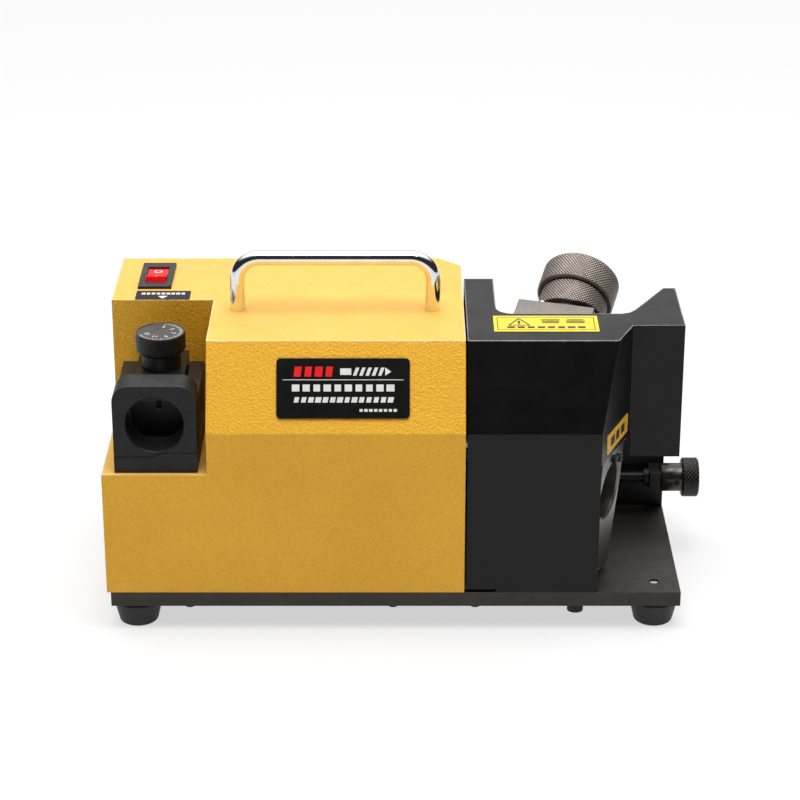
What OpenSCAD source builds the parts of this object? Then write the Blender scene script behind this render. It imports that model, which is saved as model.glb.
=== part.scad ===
// Bench drill bit sharpener: a grinding wheel on a motor shaft, a port for the drill point,
// an inclined port for web thinning with its collet chuck, and a gauge that sets the drill.
// Machine frame inside the modules: X = 0 at the middle of the base plate and to the right,
// Y = 0 at the plate's front edge and to the back, Z = 0 on the plate's top face.
// place() moves that frame so that the origin is under the middle of the whole machine.

/* [Base plate and feet] */
// Length of the base plate, left to right
plate_w = 300; // [296:1:304]
// Depth of the base plate, front to back
plate_d = 150; // [148:1:156]
// Thickness of the base plate
plate_t = 8; // [6:1:10]
// Largest diameter of a rubber foot
foot_d = 26; // [22:1:26]
// Height of a rubber foot
foot_h = 14; // [12:1:18]
// Distance of a foot's centre from the plate's edges
foot_inset = 13; // [13:0.5:14]

/* [Covers] */
// Height of both covers above the plate
cover_h = 134; // [130:1:140]
// Height at which the front of both covers starts to lean back
bend_h = 91; // [86:1:96]
// How far the front leans back between the bend and the top
lean_run = 22; // [16:1:26]
// Sheet thickness of both covers
sheet_t = 1.5; // [1:0.25:2]
// Left face of the motor cover
cover_left = -152; // [-153:1:-151]
// Right edge of the motor cover
cover_right = 36; // [35:0.5:36.5]
// Back face of the motor cover
cover_back = 145; // [143:1:148]
// Width of the step for the setting gauge, from the cover's left face
step_w = 54.5; // [50:0.5:56]
// Depth of the step, from the front
step_d = 80; // [78:1:86]
// Height of the step's ledge
step_h = 68; // [62:1:70]

/* [Wheel guard] */
// Left edge of the guard
guard_left = 37; // [36.8:0.1:38]
// Right end of the guard's front wall, where the slanted panel starts
guard_front_right = 106; // [104:1:108]
// Angle of the slanted panel to the wheel's axis, half of the point angle's supplement
port_yaw = 22.5; // [20:0.5:25]
// Depth at which the wing's front wall turns right
wing_y = 43; // [42:1:46]
// Right face of the wing
wing_right = 151; // [149:1:153]
// Height of the wing's lower edge
wing_z = 59; // [56:1:62]

/* [Grinding wheel and motor] */
// Diameter of the grinding wheel
wheel_d = 78; // [70:1:80]
// Right face of the grinding wheel
wheel_face_x = 82; // [81:0.5:83]
// Diameter of the motor's steel can
motor_d = 86; // [80:1:90]
// Distance of the shaft from the plate's front edge
shaft_y = 66; // [65:1:67]
// Height of the shaft above the plate
shaft_z = 52; // [51:1:54]

/* [Ports and chuck] */
// Bore of every port that takes the chuck
port_bore_d = 30; // [30:1:30]
// Upward tilt of the point port, for the drill's relief
port_tilt = 4; // [2:1:6]
// Diameter of the chuck's knurled cap
cap_d = 43; // [40:1:44]
// Length of the chuck's knurled cap
cap_h = 17.3; // [16:0.1:20]
// Diameter of the chuck's knurled flange
flange_d = 37.5; // [36:0.5:38]
// Length of the chuck's knurled flange
flange_h = 15.3; // [14:0.1:16]
// Angle of the chuck from straight back towards the right
chuck_azimuth = 19; // [17:1:21]
// Angle of the chuck above the horizontal
chuck_rise = 28; // [26:1:30]

/* [Handle, knobs and gauge] */
// Diameter of the handle's rod
handle_rod_d = 8; // [7:0.5:9]
// Distance between the middles of the handle's legs
handle_span = 103; // [96:1:108]
// Height of the handle above the cover
handle_h = 33; // [30:1:38]
// Diameter of the gauge's knurled dial
dial_d = 26.5; // [24:0.5:28]
// Width of the setting gauge
gauge_w = 43; // [42:1:44]
// Height of the setting gauge's front block above the ledge
gauge_h = 48; // [46:1:50]
// Diameter of the feed knob
feed_knob_d = 22; // [20:1:24]

/* [Hidden] */
$fn = 64;

gap = 0.2;       // clearance between flat faces that slide or turn past each other
run = 0.05;      // radial running clearance of a shaft in its hole
skin = 0.1;      // extra length of a cut, so that it leaves no film
far = 400;       // beyond the machine on every side

lean = atan2(lean_run, cover_h - bend_h);
gland_reach = 18;

steel = "#8d8a86";
dark_steel = "#4a4240";
black = "#242424";
yellow = "#e3b23a";
aluminium = "#b8bcc0";
copper = "#b06a35";

// Feet and fasteners
foot_xs = [-plate_w / 2 + foot_inset, plate_w / 2 - foot_inset];
foot_ys = [foot_inset, plate_d - foot_inset];
foot_screw_d = 5;
foot_screw_head_d = 9;
foot_screw_head_h = 3.5;
cover_screw_d = 3;
cover_screw_head_d = 5.5;
cover_screw_head_h = 3;
cover_screw_xs = [-109, -1.5];
flange_w = 12;
flange_y = 7;
clinch_d = 6;
clinch_h = 3;
bolt_d = 5;
bolt_head_d = 8.6;
bolt_head_h = 5.5;
guard_bolt_x = 95;
partition_screw_x = 42;

// Covers
corner_cut = 12;
partition_t = 2;
partition_foot_right = 52;
slant_x = function (y) guard_front_right + tan(port_yaw) * y;
panel_z = 73;
tab_right = 53;
tab_back = 112.5;
notch_y = 60;
notch_r = 9;
wing_cut_x = 125;
wing_cut_y = 62.5;
wing_back = 98;
wing_tip = 6.5;

// Handle and switch
handle_y = shaft_y;
handle_left = -83.5;
handle_bend_r = 12;
handle_screw_d = 4;
switch_x = -130.5;
switch_y = 115;
bezel_w = 18;
bezel_d = 37;
bezel_t = 1.6;
rocker_w = 11;
rocker_d = 23;
rocker_tilt = 9;
pointer_label_x = -125;
pointer_label_y = 86.8;
nameplate_x = -27;
nameplate_w = 68.5;
nameplate_h = 31;
nameplate_up = 23.6;

// Motor, from left to right along the shaft
rear_bell_x = -92;
can_x = -70;
can_end_x = 10;
can_t = 3;
front_bell_end_x = 20;
bracket_t = 6;
bearing_d = 28;
bearing_w = 8;
shaft_d = 12;
magnet_t = 8.6;
magnet_arc = 118;
core_d = 60;
core_x = -58;
core_l = 56;
core_slots = 12;
commutator_d = 24;
commutator_x = -82;
commutator_l = 12;
brush_w = 6;
wheel_w = 12;
abrasive_t = 2;
abrasive_inner_r = 26;
washer_t = 2;
nut_w = 16;
nut_t = 8;
wheel_end_x = wheel_face_x - abrasive_t;

// Point port: middle of its mouth, its face, its bore and its foot
port_foot_x = 100;
port_foot_t = 6;
port_bolts = [[port_foot_x, 24], [port_foot_x, 43]];
port_pos = [112.2, 20, 50];
port_half_w = 18;
port_top = 23;
port_bottom = 47;
port_t = 10;
port_boss_r = 20;
port_boss_l = 30;
port_wheel_gap = 3;
port_pin_d = 4.6;
port_pins = [[9.9, 15.1], [1.2, 17.8]];

// Web thinning unit: middle of the chuck cap's lower rim, and the holder around its axis
chuck_pos = [98, 115, 120.2];
holder_left = 24;
holder_right = 18;
holder_top = 19.5;
holder_bottom = 19;
holder_end = 20;
holder_start = 50;
relief_r = wheel_d / 2 + 3.5;
chuck_nose = 44;
base_x = 56;
base_right = 150;
base_y = 106.5;
base_back = 141;
base_h = 40;
rail_y = 116;
rail_w = 16;
rail_h = 6;
carriage_x = 66;
carriage_w = 50;
carriage_h = 54;
feed_y = 98.2;
feed_z = 21.3;
feed_screw_d = 6;
feed_lug_x = 93;
feed_lug_w = 11;
bracket_x = 141.2;
bracket_w = 6;

// Setting gauge
gauge_x = -123.8;
gauge_y = 2.7;
bore_block_l = 17.3;
seam = 0.5;
gauge_back = 66;
gauge_base_h = 8.6;
gauge_step = 2.2;
gauge_bore_z = step_h + 26.8;
rail_t = 7.5;
rail_top = 104.5;
bridge_top = 107.8;
bridge_w = 26;
bridge_t = 7;
leg_top = 100;
bridge_y = 36;
bridge_back = 73;
bridge_leg_t = 5.5;
dial_y = 52;
dial_z = 127.2;
dial_h = 11.6;
stem_d = 20.5;
cam_d = 24;
cam_t = 3.4;
cam_groove = 2.2;
cam_r0 = 4;
cam_rise = 6.5;
cam_turn = 300;
cam_spare = 40;
stop_pin_d = 2.6;

// ---------------------------------------------------------------- helpers

// The whole machine, moved so that the origin is under its middle
module place() {
  machine_right = knob_x + hub_w + knob_w;
  machine_back = cover_back + gland_reach;
  translate([-(cover_left + machine_right) / 2, -machine_back / 2, plate_t + foot_h])
    children();
}

// A cylinder along X
module x_cylinder(d, l, fn = 64) {
  rotate([0, 90, 0])
    cylinder(d = d, h = l, $fn = fn);
}

module at_shaft(x = 0) {
  translate([x, shaft_y, shaft_z])
    children();
}

// Outline of the covers seen from the side, [y, z], set in from the outside by t
function side_outline(t) = [
  [t, 0],
  [t, bend_h - t * tan(lean / 2)],
  [lean_run + t * tan((90 - lean) / 2), cover_h - t],
  [cover_back - t, cover_h - t],
  [cover_back - t, 0]
];

function arc(c, r, a0, a1, n = 8) = [
  for (i = [0:n]) c + r * [cos(a0 + (a1 - a0) * i / n), sin(a0 + (a1 - a0) * i / n)]
];

// A side outline swept from x0 to x1
module side_prism(x0, x1, t) {
  translate([x0, 0, 0])
    rotate([90, 0, 90])
      linear_extrude(x1 - x0)
        polygon(side_outline(t));
}

// A plan outline from z0 up to z1
module plan_prism(points, z0, z1) {
  translate([0, 0, z0])
    linear_extrude(z1 - z0)
      polygon(points);
}

// Box from one corner to the other
module box(a, b) {
  translate(a)
    cube(b - a);
}

// A screw under the plate: head below, shank up to the given height
module plate_screw(x, y, d, head_d, head_h, top) {
  translate([x, y, -plate_t - head_h])
    difference() {
      union() {
        cylinder(d = head_d, h = head_h);
        cylinder(d = d, h = head_h + plate_t + top);
      }
      translate([0, 0, -skin])
        cylinder(d = head_d * 0.5, h = head_h * 0.6, $fn = 6);
    }
}

// Frame of the point port: Z points out of the mouth, X along the face, Y up the face
module at_port() {
  translate(port_pos)
    rotate([0, 0, -port_yaw])
      rotate([0, 90 + port_tilt, 0])
        rotate([0, 0, 90])
          children();
}

// Frame of the chuck: Z points out along the chuck, X to the right, Y down and forward
module at_chuck(t = 0) {
  translate(chuck_pos)
    rotate([0, 0, -chuck_azimuth])
      rotate([-(90 - chuck_rise), 0, 0])
        translate([0, 0, t])
          children();
}

// ---------------------------------------------------------------- base

module base_plate() {
  color(dark_steel)
    difference() {
      box([-plate_w / 2, 0, -plate_t], [plate_w / 2, plate_d, 0]);
      for (x = foot_xs, y = foot_ys)
        plate_hole(x, y, foot_screw_d);
      for (x = cover_screw_xs, y = [flange_y, cover_back - flange_y])
        plate_hole(x, y, cover_screw_d);
      plate_hole(partition_screw_x, flange_y, cover_screw_d);
      plate_hole(guard_bolt_x, flange_y, bolt_d);
      for (y = bracket_foot_ys)
        plate_hole(bracket_foot_x, y, bracket_screw_d);
      for (p = concat(base_bolts, port_bolts))
        plate_hole(p[0], p[1], bolt_d);
    }
}

module plate_hole(x, y, d) {
  translate([x, y, -plate_t - skin])
    cylinder(d = d + gap, h = plate_t + 2 * skin);
}

module rubber_feet() {
  taper = 2.5;
  round_r = 2;
  top_r = foot_d / 2;
  low_r = top_r - taper;
  color(black)
    for (x = foot_xs, y = foot_ys)
      translate([x, y, -plate_t - foot_h])
        rotate_extrude()
          polygon(concat(
            [[foot_screw_head_d / 2 + gap, 0]],
            arc([low_r - round_r, round_r], round_r, -90, 0),
            [
              [top_r, foot_h - 1.5],
              [top_r - 0.8, foot_h],
              [foot_screw_d / 2 + gap / 2, foot_h],
              [foot_screw_d / 2 + gap / 2, foot_screw_head_h + 4],
              [foot_screw_head_d / 2 + gap, foot_screw_head_h + 4]
            ]));
}

module foot_screws() {
  head_z = -plate_t - foot_h + 4;
  color(steel)
    for (x = foot_xs, y = foot_ys)
      translate([x, y, head_z])
        difference() {
          union() {
            cylinder(d = foot_screw_head_d, h = foot_screw_head_h);
            cylinder(d = foot_screw_d, h = -head_z - 0.8);
          }
          cross_recess(foot_screw_head_d * 0.55, 1.6);
        }
}

// A cross recess cut upwards into a screw head at Z = 0
module cross_recess(l, depth) {
  for (a = [0, 90])
    rotate([0, 0, a])
      translate([-l / 2, -0.5, -skin])
        cube([l, 1, depth + skin]);
}

// ---------------------------------------------------------------- motor cover

// Plan of the motor cover, set in by t, with its cut back right corner
function cover_plan(t, over = 0) =
  let (k = cover_right + cover_back - corner_cut - t * sqrt(2))
    [
      [cover_left + t, -skin],
      [cover_right + over, -skin],
      [cover_right + over, k - cover_right - over],
      [k - cover_back + t, cover_back - t],
      [cover_left + t, cover_back - t]
    ];

module cover_volume(t, over, floor_z) {
  difference() {
    intersection() {
      side_prism(cover_left + t, cover_right + over, t);
      plan_prism(cover_plan(t, over), floor_z, cover_h - t);
    }
    translate([cover_left - skin, -skin, step_h - t])
      cube([step_w + skin + t, step_d + skin + t, far]);
  }
}

module motor_cover() {
  color(yellow) {
    difference() {
      cover_volume(0, 0, 0);
      difference() {
        cover_volume(sheet_t, 5, -skin);
        for (y = [sheet_t - skin, cover_back - sheet_t - flange_w])
          translate([cover_left, y, -skin])
            cube([-cover_left + 30, flange_w + skin, sheet_t + skin]);
      }
      for (x = cover_screw_xs, y = [flange_y, cover_back - flange_y])
        translate([x, y, -skin])
          cylinder(d = cover_screw_d + gap, h = sheet_t + 2 * skin);
      for (x = handle_xs)
        translate([x, handle_y, cover_h - 5])
          cylinder(d = handle_screw_d + gap, h = 10);
      translate([switch_x - 7.2, switch_y - 15, cover_h - 5])
        cube([14.4, 30, 10]);
      translate([gland_x, cover_back - 5, gland_z])
        rotate([-90, 0, 0])
          cylinder(d = gland_thread_d + gap, h = 10);
      gauge_screw_holes(step_h - 5, 10);
    }
  }
}

handle_xs = [handle_left, handle_left + handle_span];
gland_x = -118;
gland_z = 26;
gland_thread_d = 12;
gauge_screw_d = 4;
gauge_screw_xs = [gauge_x - gauge_w / 2 + rail_t / 2, gauge_x + gauge_w / 2 - rail_t / 2];
gauge_screw_ys = [30, 56];

module gauge_screw_holes(z, h) {
  for (x = gauge_screw_xs, y = gauge_screw_ys)
    translate([x, y, z])
      cylinder(d = gauge_screw_d + gap, h = h);
}

module cover_screws() {
  color(dark_steel) {
    for (x = cover_screw_xs, y = [flange_y, cover_back - flange_y])
      plate_screw(x, y, cover_screw_d, cover_screw_head_d, cover_screw_head_h, 4);
    plate_screw(partition_screw_x, flange_y, cover_screw_d, cover_screw_head_d,
      cover_screw_head_h, 4);
  }
}

// Threaded nuts pressed onto the flanges above the plate screws
module clinch_nuts() {
  color(steel) {
    for (x = cover_screw_xs, y = [flange_y, cover_back - flange_y])
      clinch_nut(x, y, sheet_t);
    clinch_nut(partition_screw_x, flange_y, partition_t);
  }
}

module clinch_nut(x, y, z) {
  translate([x, y, z])
    difference() {
      cylinder(d = clinch_d, h = clinch_h);
      translate([0, 0, -skin])
        cylinder(d = cover_screw_d + 2 * run, h = clinch_h + 2 * skin);
    }
}

module carry_handle() {
  leg = handle_h - handle_rod_d / 2 - handle_bend_r;
  span = handle_span - 2 * handle_bend_r;
  color("#c9c9cc")
    difference() {
      translate([handle_xs[0], handle_y, cover_h])
        union() {
          for (x = [0, handle_span])
            translate([x, 0, 0])
              cylinder(d = handle_rod_d, h = leg);
          translate([handle_bend_r, 0, leg + handle_bend_r])
            x_cylinder(handle_rod_d, span);
          translate([handle_bend_r, 0, leg])
            handle_bend(90);
          translate([handle_bend_r + span, 0, leg])
            handle_bend(0);
        }
      for (x = handle_xs)
        translate([x, handle_y, cover_h - skin])
          cylinder(d = handle_screw_d + 2 * run, h = 12);
    }
}

// A quarter bend of the handle's rod, from angle a upwards in the XZ plane
module handle_bend(a) {
  rotate([90, 0, 0])
    rotate([0, 0, a])
      rotate_extrude(angle = 90, $fn = 96)
        translate([handle_bend_r, 0])
          circle(d = handle_rod_d, $fn = 48);
}

module handle_screws() {
  head_h = 2.6;
  color(steel)
    for (x = handle_xs)
      translate([x, handle_y, cover_h - sheet_t - head_h])
        difference() {
          union() {
            cylinder(d = 8, h = head_h);
            cylinder(d = handle_screw_d, h = head_h + sheet_t + 11);
          }
          cross_recess(4.5, 1.4);
        }
}

// ---------------------------------------------------------------- switch, labels, inlet

// Bezel on top of the cover and the body below it, hollow for the rocker
module switch_body() {
  body_w = 14;
  body_d = 29.6;
  body_h = 22;
  color(black)
    translate([switch_x, switch_y, cover_h])
      difference() {
        union() {
          translate([-bezel_w / 2, -bezel_d / 2, 0])
            cube([bezel_w, bezel_d, bezel_t]);
          translate([-body_w / 2, -body_d / 2, -body_h])
            cube([body_w, body_d, body_h + skin]);
          for (y = [-8, 0, 8])
            translate([-2.4, y - 0.4, -body_h - 7])
              cube([4.8, 0.8, 7 + skin]);
        }
        translate([-rocker_w / 2 - gap, -rocker_d / 2 - gap, -9])
          cube([rocker_w + 2 * gap, rocker_d + 2 * gap, 20]);
        translate([-rocker_w / 2 - 1.1, 0, rocker_axis_z - cover_h])
          x_cylinder(rocker_pin_d + 2 * run, rocker_w + 2.2, 32);
      }
}

rocker_axis_z = cover_h - 4;
rocker_pin_d = 2.4;

// Rocker with a V-shaped top: its front half stands up and its back half is pressed in
module switch_rocker() {
  half = rocker_d / 2 - 0.6;
  color("#c02018")
    translate([switch_x - rocker_w / 2, switch_y, rocker_axis_z])
      rotate([-rocker_tilt, 0, 0]) {
        rotate([90, 0, 90])
          linear_extrude(rocker_w)
            polygon([
              [-half, -0.5], [-half, 3], [0.7 - half, 6.4], [0, 5.2], [half - 0.7, 6.4], [half, 3],
              [half, -0.5], [0, -4]
            ]);
        translate([-1, 0, 0])
          x_cylinder(rocker_pin_d, rocker_w + 2, 32);
      }
}

module dial_pointer_label() {
  color(black)
    translate([pointer_label_x - 14.6, pointer_label_y - 6.4, cover_h])
      cube([29.2, 12.8, 0.3]);
}

// Frame on the leaning front: Z points out of it, Y up it
module at_lean(x, up) {
  translate([x, 0, bend_h])
    rotate([90 - lean, 0, 0])
      translate([0, up, 0])
        children();
}

module nameplate() {
  color(black)
    at_lean(nameplate_x, nameplate_up)
      linear_extrude(0.8)
        rounded_plate(nameplate_w, nameplate_h, 2.2);
}

// A rectangle about the origin with round corners
module rounded_plate(w, h, r) {
  polygon(concat(
    arc([w / 2 - r, h / 2 - r], r, 0, 90),
    arc([-w / 2 + r, h / 2 - r], r, 90, 180),
    arc([-w / 2 + r, -h / 2 + r], r, 180, 270),
    arc([w / 2 - r, -h / 2 + r], r, 270, 360)));
}

module cable_gland() {
  inside = 10;
  color(black)
    translate([gland_x, cover_back, gland_z])
      rotate([-90, 0, 0])
        difference() {
          union() {
            translate([0, 0, -inside])
              cylinder(d = gland_thread_d, h = inside + skin);
            cylinder(d = 19, h = 4, $fn = 6);
            translate([0, 0, 4])
              rotate_extrude()
                polygon([[0, 0], [8.5, 0], [8.5, 9], [6, gland_reach - 4], [0, gland_reach - 4]]);
          }
          translate([0, 0, -inside - skin])
            cylinder(d = 7, h = inside + gland_reach + 2 * skin);
        }
}

module gland_nut() {
  color(black)
    translate([gland_x, cover_back - sheet_t - 4, gland_z])
      rotate([-90, 0, 0])
        difference() {
          cylinder(d = 19, h = 4, $fn = 6);
          translate([0, 0, -skin])
            cylinder(d = gland_thread_d + 2 * run, h = 4 + 2 * skin);
        }
}

board_pos = [-142, 84, 12];
board_size = [38, 44, 1.6];
board_hole_inset = 4;

// Circuit board with its soldered fuse holder, terminals and capacitor
module control_board() {
  color("#2e6b3a")
    difference() {
      union() {
        translate(board_pos)
          cube(board_size);
        translate(board_pos + [6, 28, board_size[2]])
          cube([15, 4, 15]);
        for (i = [0:3])
          translate(board_pos + [27, 8 + 7 * i, board_size[2]])
            cube([8, 6, 10]);
        translate(board_pos + [13, 14, board_size[2]])
          cylinder(d = 16, h = 24);
      }
      board_holes(board_pos[2] - skin, board_size[2] + 2 * skin);
    }
}

module board_holes(z, h) {
  for (x = [board_hole_inset, board_size[0] - board_hole_inset],
       y = [board_hole_inset, board_size[1] - board_hole_inset])
    translate([board_pos[0] + x, board_pos[1] + y, z])
      cylinder(d = 3 + gap, h = h);
}

module board_standoffs() {
  color(steel)
    for (x = [board_hole_inset, board_size[0] - board_hole_inset],
         y = [board_hole_inset, board_size[1] - board_hole_inset])
      translate([board_pos[0] + x, board_pos[1] + y, 0]) {
        cylinder(d = 6, h = board_pos[2]);
        cylinder(d = 3, h = board_pos[2] + board_size[2] + 3);
      }
}

// ---------------------------------------------------------------- motor

module motor_can() {
  color(dark_steel)
    at_shaft(can_x)
      difference() {
        x_cylinder(motor_d, can_end_x - can_x, 96);
        translate([-skin, 0, 0])
          x_cylinder(motor_d - 2 * can_t, can_end_x - can_x + 2 * skin, 96);
      }
}

module motor_magnets() {
  outer_r = motor_d / 2 - can_t - run;
  inner_r = outer_r - magnet_t;
  color("#3a3a3c")
    at_shaft(core_x - 2)
      rotate([90, 0, 90])
        for (a = [0, 180])
          rotate([0, 0, a - magnet_arc / 2])
            linear_extrude(core_l + 4)
              polygon(concat(
                arc([0, 0], outer_r, 0, magnet_arc, 24),
                arc([0, 0], inner_r, magnet_arc, 0, 24)));
}

// Bell at one end: a disc with a pocket for the bearing and a rim inside the can
module motor_front_bell() {
  l = front_bell_end_x - can_end_x;
  color(aluminium)
    at_shaft(can_end_x)
      difference() {
        x_cylinder(motor_d, l, 96);
        translate([-skin, 0, 0])
          x_cylinder(motor_d - 2 * can_t - 4, l - bearing_w + skin - 1, 96);
        translate([-skin, 0, 0])
          x_cylinder(shaft_d + 4, l + 2 * skin);
        translate([-skin, 0, 0])
          x_cylinder(bearing_d, l - 1 + skin);
        bell_bolt_holes(l);
      }
}

bell_bolt_r = 30;
bell_bolt_d = 5;

module bell_bolt_holes(l) {
  for (a = [45:90:315])
    rotate([a, 0, 0])
      translate([l - 7, 0, bell_bolt_r])
        x_cylinder(bell_bolt_d + gap, 7 + skin, 32);
}

module motor_rear_bell() {
  l = can_x - rear_bell_x;
  wall = 3;
  color(aluminium)
    at_shaft(rear_bell_x)
      difference() {
        union() {
          translate([5, 0, 0])
            x_cylinder(motor_d, l - 5, 96);
          x_cylinder(bearing_d + 8, 6);
        }
        translate([bearing_w + 1.5, 0, 0])
          x_cylinder(motor_d - 2 * wall, l, 96);
        translate([1.5, 0, 0])
          x_cylinder(bearing_d, l);
        for (a = [90, 270])
          rotate([a, 0, 0])
            translate([brush_x - 1.5 - rear_bell_x - run, -brush_w / 2 - 1.5 - run, 20])
              cube([brush_w + 3 + 2 * run, brush_w + 3 + 2 * run, motor_d / 2]);
      }
}

module motor_bearings() {
  color(steel)
    for (x = [rear_bell_x + 1.5, front_bell_end_x - 1 - bearing_w])
      at_shaft(x)
        difference() {
          x_cylinder(bearing_d - 2 * run, bearing_w);
          translate([-skin, 0, 0])
            x_cylinder(shaft_d + 2 * run, bearing_w + 2 * skin);
          for (side = [-skin, bearing_w - 0.8])
            translate([side, 0, 0])
              difference() {
                x_cylinder(22, 0.8 + skin);
                x_cylinder(17, 0.8 + skin);
              }
        }
}

bracket_x0 = front_bell_end_x;
bracket_foot_x = bracket_x0 - 7;
bracket_foot_ys = [shaft_y - 30, shaft_y + 30];
bracket_screw_d = 6;
bracket_half_w = 44;

// Thick angle bracket that carries the motor by its front bell
module motor_bracket() {
  color(dark_steel)
    difference() {
      union() {
        box([bracket_x0, shaft_y - bracket_half_w, 0],
          [bracket_x0 + bracket_t, shaft_y + bracket_half_w, shaft_z]);
        at_shaft(bracket_x0)
          x_cylinder(2 * bracket_half_w, bracket_t, 96);
        box([bracket_x0 - 14, shaft_y - bracket_half_w, 0],
          [bracket_x0 + skin, shaft_y - 22, bracket_t]);
        box([bracket_x0 - 14, shaft_y + 22, 0],
          [bracket_x0 + skin, shaft_y + bracket_half_w, bracket_t]);
      }
      at_shaft(bracket_x0 - skin)
        x_cylinder(shaft_d + 10, bracket_t + 2 * skin);
      for (a = [45:90:315])
        at_shaft(bracket_x0 - skin)
          rotate([a, 0, 0])
            translate([0, 0, bell_bolt_r])
              x_cylinder(bell_bolt_d + gap, bracket_t + 2 * skin, 32);
      for (y = bracket_foot_ys)
        translate([bracket_foot_x, y, -skin])
          cylinder(d = bracket_screw_d + gap, h = bracket_t + 2 * skin);
      at_shaft(bracket_x0 - 16)
        x_cylinder(motor_d + 1, 16, 96);
    }
}

module motor_bracket_screws() {
  head_h = 4;
  color(steel) {
    for (y = bracket_foot_ys)
      plate_screw(bracket_foot_x, y, bracket_screw_d, 10, 3, bracket_t);
    for (a = [45:90:315])
      at_shaft(bracket_x0 - 6)
        rotate([a, 0, 0])
          translate([0, 0, bell_bolt_r]) {
            x_cylinder(bell_bolt_d, bracket_t + 6 + skin, 32);
            translate([bracket_t + 6, 0, 0])
              x_cylinder(8, head_h, 32);
          }
  }
}

// ---------------------------------------------------------------- rotor

module motor_shaft() {
  color(steel)
    at_shaft()
      difference() {
        union() {
          translate([rear_bell_x + 2.5, 0, 0])
            x_cylinder(shaft_d, hub_x + hub_l - rear_bell_x - 2.5, 48);
          translate([hub_x + hub_l - skin, 0, 0])
            x_cylinder(wheel_bore_d, wheel_end_x + washer_t + nut_t + 3 - hub_x - hub_l, 48);
        }
        translate([wheel_end_x + washer_t + nut_t + 3 - 4, 0, 0])
          x_cylinder(3, 5, 24);
      }
}

wheel_bore_d = 10;
hub_l = 10;
hub_x = wheel_face_x - wheel_w - hub_l;

// Laminated core with a ring of winding slots
module armature_core() {
  slot_r = core_d / 2 - 7;
  color("#6f6a64")
    at_shaft(core_x)
      difference() {
        x_cylinder(core_d, core_l, 96);
        translate([-skin, 0, 0])
          x_cylinder(shaft_d + 2 * run, core_l + 2 * skin, 48);
        for (i = [0:core_slots - 1])
          rotate([i * 360 / core_slots, 0, 0])
            translate([-skin, 0, slot_r]) {
              x_cylinder(7, core_l + 2 * skin, 24);
              translate([0, -1.2, 0])
                cube([core_l + 2 * skin, 2.4, 10]);
            }
      }
}

// End turns of the copper windings on both sides of the core
module armature_windings() {
  color(copper)
    for (x = [core_x - 9, core_x + core_l])
      at_shaft(x)
        rotate([0, 90, 0])
          rotate_extrude($fn = 64)
            polygon([[shaft_d / 2 + 4, 0], [22, 0], [25, 2], [25, 7], [22, 9], [shaft_d / 2 + 4, 9]]);
}

module commutator() {
  color(copper)
    at_shaft(commutator_x)
      difference() {
        x_cylinder(commutator_d, commutator_l, 64);
        translate([-skin, 0, 0])
          x_cylinder(shaft_d + 2 * run, commutator_l + 2 * skin, 48);
        for (i = [0:23])
          rotate([i * 15, 0, 0])
            translate([-skin, -0.25, commutator_d / 2 - 1.2])
              cube([commutator_l + 2 * skin, 0.5, 2]);
      }
}

brush_x = commutator_x + 3;

module brush_holders() {
  color("#7a5b2c")
    for (a = [90, 270])
      at_shaft(brush_x)
        rotate([a, 0, 0])
          translate([-1.5, -brush_w / 2 - 1.5, commutator_d / 2 + 3])
            difference() {
              cube([brush_w + 3, brush_w + 3, 27.2]);
              translate([1.5 - run, 1.5 - run, -skin])
                cube([brush_w + 2 * run, brush_w + 2 * run, 25]);
            }
}

module carbon_brushes() {
  color("#2a2a2c")
    for (a = [90, 270])
      at_shaft(brush_x)
        rotate([a, 0, 0])
          translate([0, -brush_w / 2, commutator_d / 2 + 0.3])
            cube([brush_w, brush_w, 15]);
}

module wheel_hub() {
  color(steel)
    at_shaft(hub_x)
      difference() {
        union() {
          x_cylinder(22, hub_l, 64);
          translate([hub_l - 4, 0, 0])
            x_cylinder(34, 4, 64);
        }
        translate([-skin, 0, 0])
          x_cylinder(shaft_d + 2 * run, hub_l + 2 * skin, 48);
        translate([3, 0, 0])
          cylinder(d = 3, h = 12, $fn = 24);
      }
}

module grinding_wheel() {
  core_w = wheel_w - abrasive_t;
  color(steel)
    at_shaft(hub_x + hub_l)
      difference() {
        x_cylinder(wheel_d - 2 * abrasive_t, core_w, 128);
        translate([-skin, 0, 0])
          x_cylinder(wheel_bore_d + 2 * run, core_w + 2 * skin, 48);
      }
}

// Grinding grit bonded on the wheel's rim and on the outer part of its face
module abrasive_ring() {
  rim_r = wheel_d / 2;
  color("#5b5f3e")
    at_shaft(hub_x + hub_l)
      rotate([0, 90, 0])
        rotate_extrude($fn = 128)
          polygon([
            [rim_r - abrasive_t, 0],
            [rim_r, 0],
            [rim_r, wheel_w - 1],
            [rim_r - 1, wheel_w],
            [abrasive_inner_r, wheel_w],
            [abrasive_inner_r, wheel_w - abrasive_t],
            [rim_r - abrasive_t, wheel_w - abrasive_t]
          ]);
}

module wheel_washer() {
  color(steel)
    at_shaft(wheel_end_x)
      difference() {
        x_cylinder(24, washer_t, 64);
        translate([-skin, 0, 0])
          x_cylinder(wheel_bore_d + 2 * run, washer_t + 2 * skin, 48);
      }
}

module wheel_nut() {
  color(steel)
    at_shaft(wheel_end_x + washer_t)
      difference() {
        x_cylinder(nut_w / cos(30), nut_t, 6);
        translate([-skin, 0, 0])
          x_cylinder(wheel_bore_d + 2 * run, nut_t + 2 * skin, 48);
      }
}

// ---------------------------------------------------------------- partition and guard

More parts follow.
